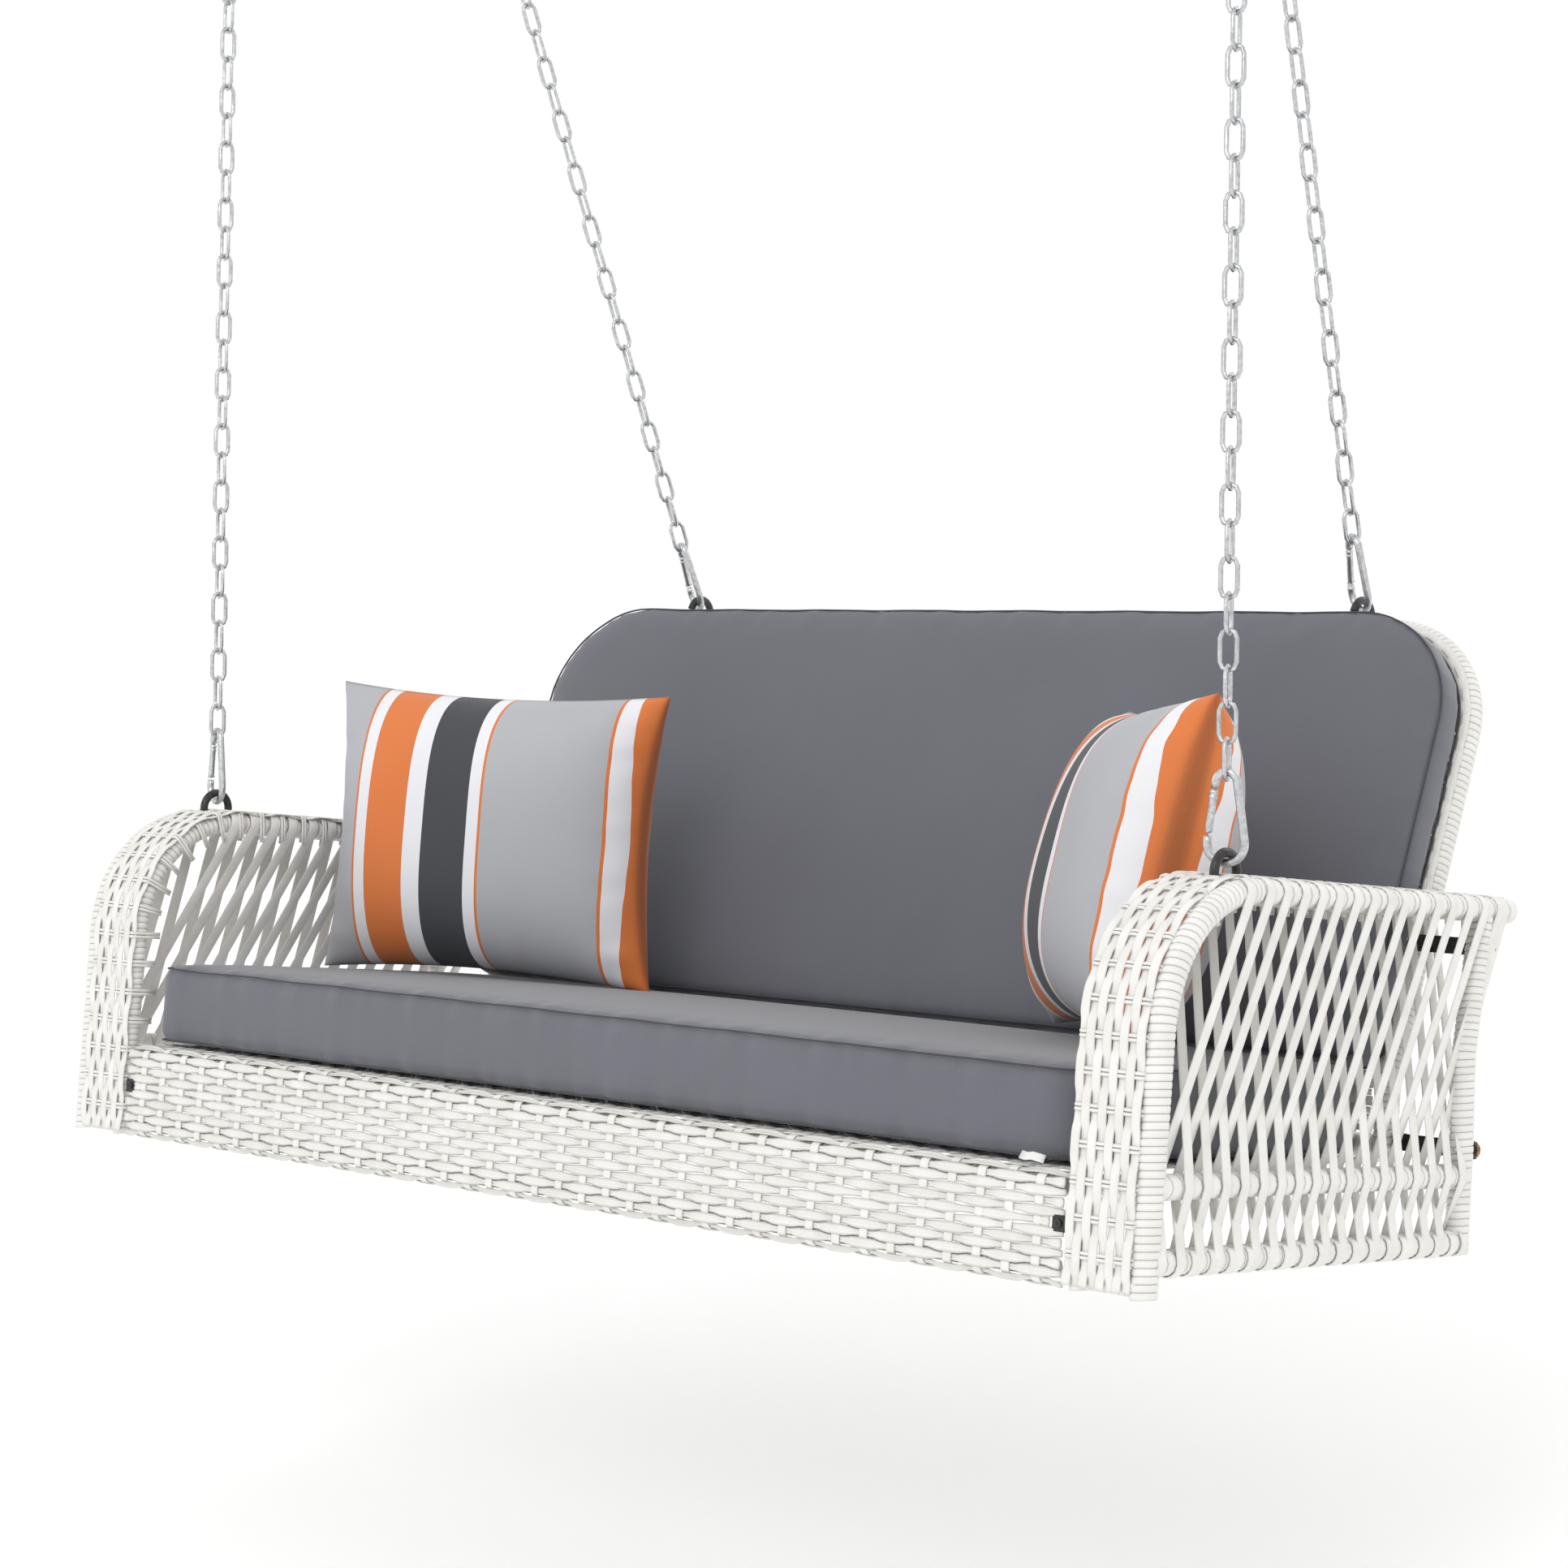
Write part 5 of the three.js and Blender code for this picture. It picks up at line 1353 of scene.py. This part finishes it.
# A pillow's form: the powers of its plump shape, how far its ends and its long edges draw in between
# the corners, the weights of its pucker's waves, how far each pucker fades inward, and their depth,
# that of the soft folds and the seam's reach.
PLUMP_ALONG, PLUMP_UP, PLUMP_ROUND, DRAW_ENDS, DRAW_EDGES = 3.4, 3.0, 0.55, 0.10, 0.075
EDGE_WEIGHTS, FADE_ALONG, FADE_UP, FADE_POWER = (0.6, 1, 0.8), 0.16, 0.18, 12
RIPPLE_DEEP, FOLD_DEEP, PILLOW_SEAM = 0.0016, 0.0018, 0.0018


def pillow_skin(seed, steps=56):
    """One pillow in (u, v, w): u along, w up, v out from the middle seam. Half thickness is
    T ((1 - |a|^p)(1 - |b|^q))^r with a, b from -1 to 1; the edges draw in between the corners by
    d (1 - a^2) and pucker along the seam by waves that die away inward."""
    chance = np.random.default_rng(seed)
    grid = np.sin(np.linspace(-1, 1, steps + 1) * np.pi / 2)
    a, b = np.meshgrid(grid, grid, indexing="ij")
    height = ((1 - np.abs(a) ** PLUMP_ALONG) * (1 - np.abs(b) ** PLUMP_UP)).clip(0, 1) ** PLUMP_ROUND
    u = a * PILLOW_WIDE / 2 * (1 - DRAW_ENDS * (1 - b ** 2) * np.abs(a) ** 2)
    w = b * PILLOW_HIGH / 2 * (1 - DRAW_EDGES * (1 - a ** 2) * np.abs(b) ** 2)
    phases = chance.uniform(0, 2 * np.pi, 8)
    edge_u = waves(w, (0.026, 0.043, 0.09), phases[:3], EDGE_WEIGHTS)
    edge_w = waves(u, (0.028, 0.047, 0.1), phases[3:6], EDGE_WEIGHTS)
    fade_u, fade_w = [np.exp(-((1 - np.abs(c)) / fade) ** 2) * (1 - np.abs(c) ** FADE_POWER)
                      for c, fade in ((a, FADE_ALONG), (b, FADE_UP))]
    soft = sum(np.sin(u * k + p) * np.sin(w * m + q)
               for k, m, p, q in ((17, 23, phases[6], phases[7]), (31, 19, phases[1], phases[3])))
    ripple = RIPPLE_DEEP * (edge_u * fade_u + edge_w * fade_w) + FOLD_DEEP * soft * height
    front = -(PILLOW_THICK / 2 * height + ripple)
    rear = PILLOW_THICK / 2 * height + np.roll(ripple, steps // 3, 1) * (height > 0)
    rim = np.zeros_like(a, bool)
    rim[[0, -1], :] = rim[:, [0, -1]] = True
    front[rim] = rear[rim] = 0
    points = steps + 1
    number = np.arange(points * points).reshape(points, points)
    rear_number = np.where(rim, number, 0)
    rear_number[~rim] = points * points + np.arange((~rim).sum())

    def quads(index):
        return np.stack([index[:-1, :-1], index[1:, :-1], index[1:, 1:], index[:-1, 1:]], -1).reshape(-1, 4)

    faces = np.concatenate([quads(number), quads(rear_number)[:, ::-1]])
    front_points = np.stack([u, front, w], -1).reshape(-1, 3)
    rear_points = np.stack([u, rear, w], -1)[~rim]
    along = (u / PILLOW_WIDE + 0.5).ravel()
    edge = np.maximum(np.abs(a), np.abs(b))
    # Painted shade: a seam mark near the rim, where the panels are sewn, darkens the canvas there.
    seam = np.exp(-((1 - edge) * PILLOW_HIGH / 2 / PILLOW_SEAM) ** 2).ravel()
    return (np.concatenate([front_points, rear_points]), faces,
            np.concatenate([along, along[~rim.ravel()]]), np.concatenate([seam, seam[~rim.ravel()]]))


def turn_about(points, x_degrees, z_degrees):
    """Points turned about X and then about Z."""
    cx, sx = np.cos(np.radians(x_degrees)), np.sin(np.radians(x_degrees))
    cz, sz = np.cos(np.radians(z_degrees)), np.sin(np.radians(z_degrees))
    about_x = np.array([[1, 0, 0], [0, cx, sx], [0, -sx, cx]])
    about_z = np.array([[cz, sz, 0], [-sz, cz, 0], [0, 0, 1]])
    return points @ about_x @ about_z


SEAT_TOP = seat_high[2]
for name, foot, lean, facing, seed in (("right", (-0.383, 0.296, SEAT_TOP + 0.003), 0, 17, 7),
                                       ("left", (0.390, 0.282, SEAT_TOP + 0.012), -10, -44, 8)):
    vertices, faces, along, seam = pillow_skin(seed)
    pillow = loose_object(f"striped_pillow_{name}", vertices, faces.tolist())
    standing = turn_about(vertices + (0, 0, PILLOW_HIGH / 2), lean, facing) + np.array(foot)
    finish_soft(pillow, standing, {"along": along, "seam": seam}, printed_canvas, [f"pillow_{name}"])
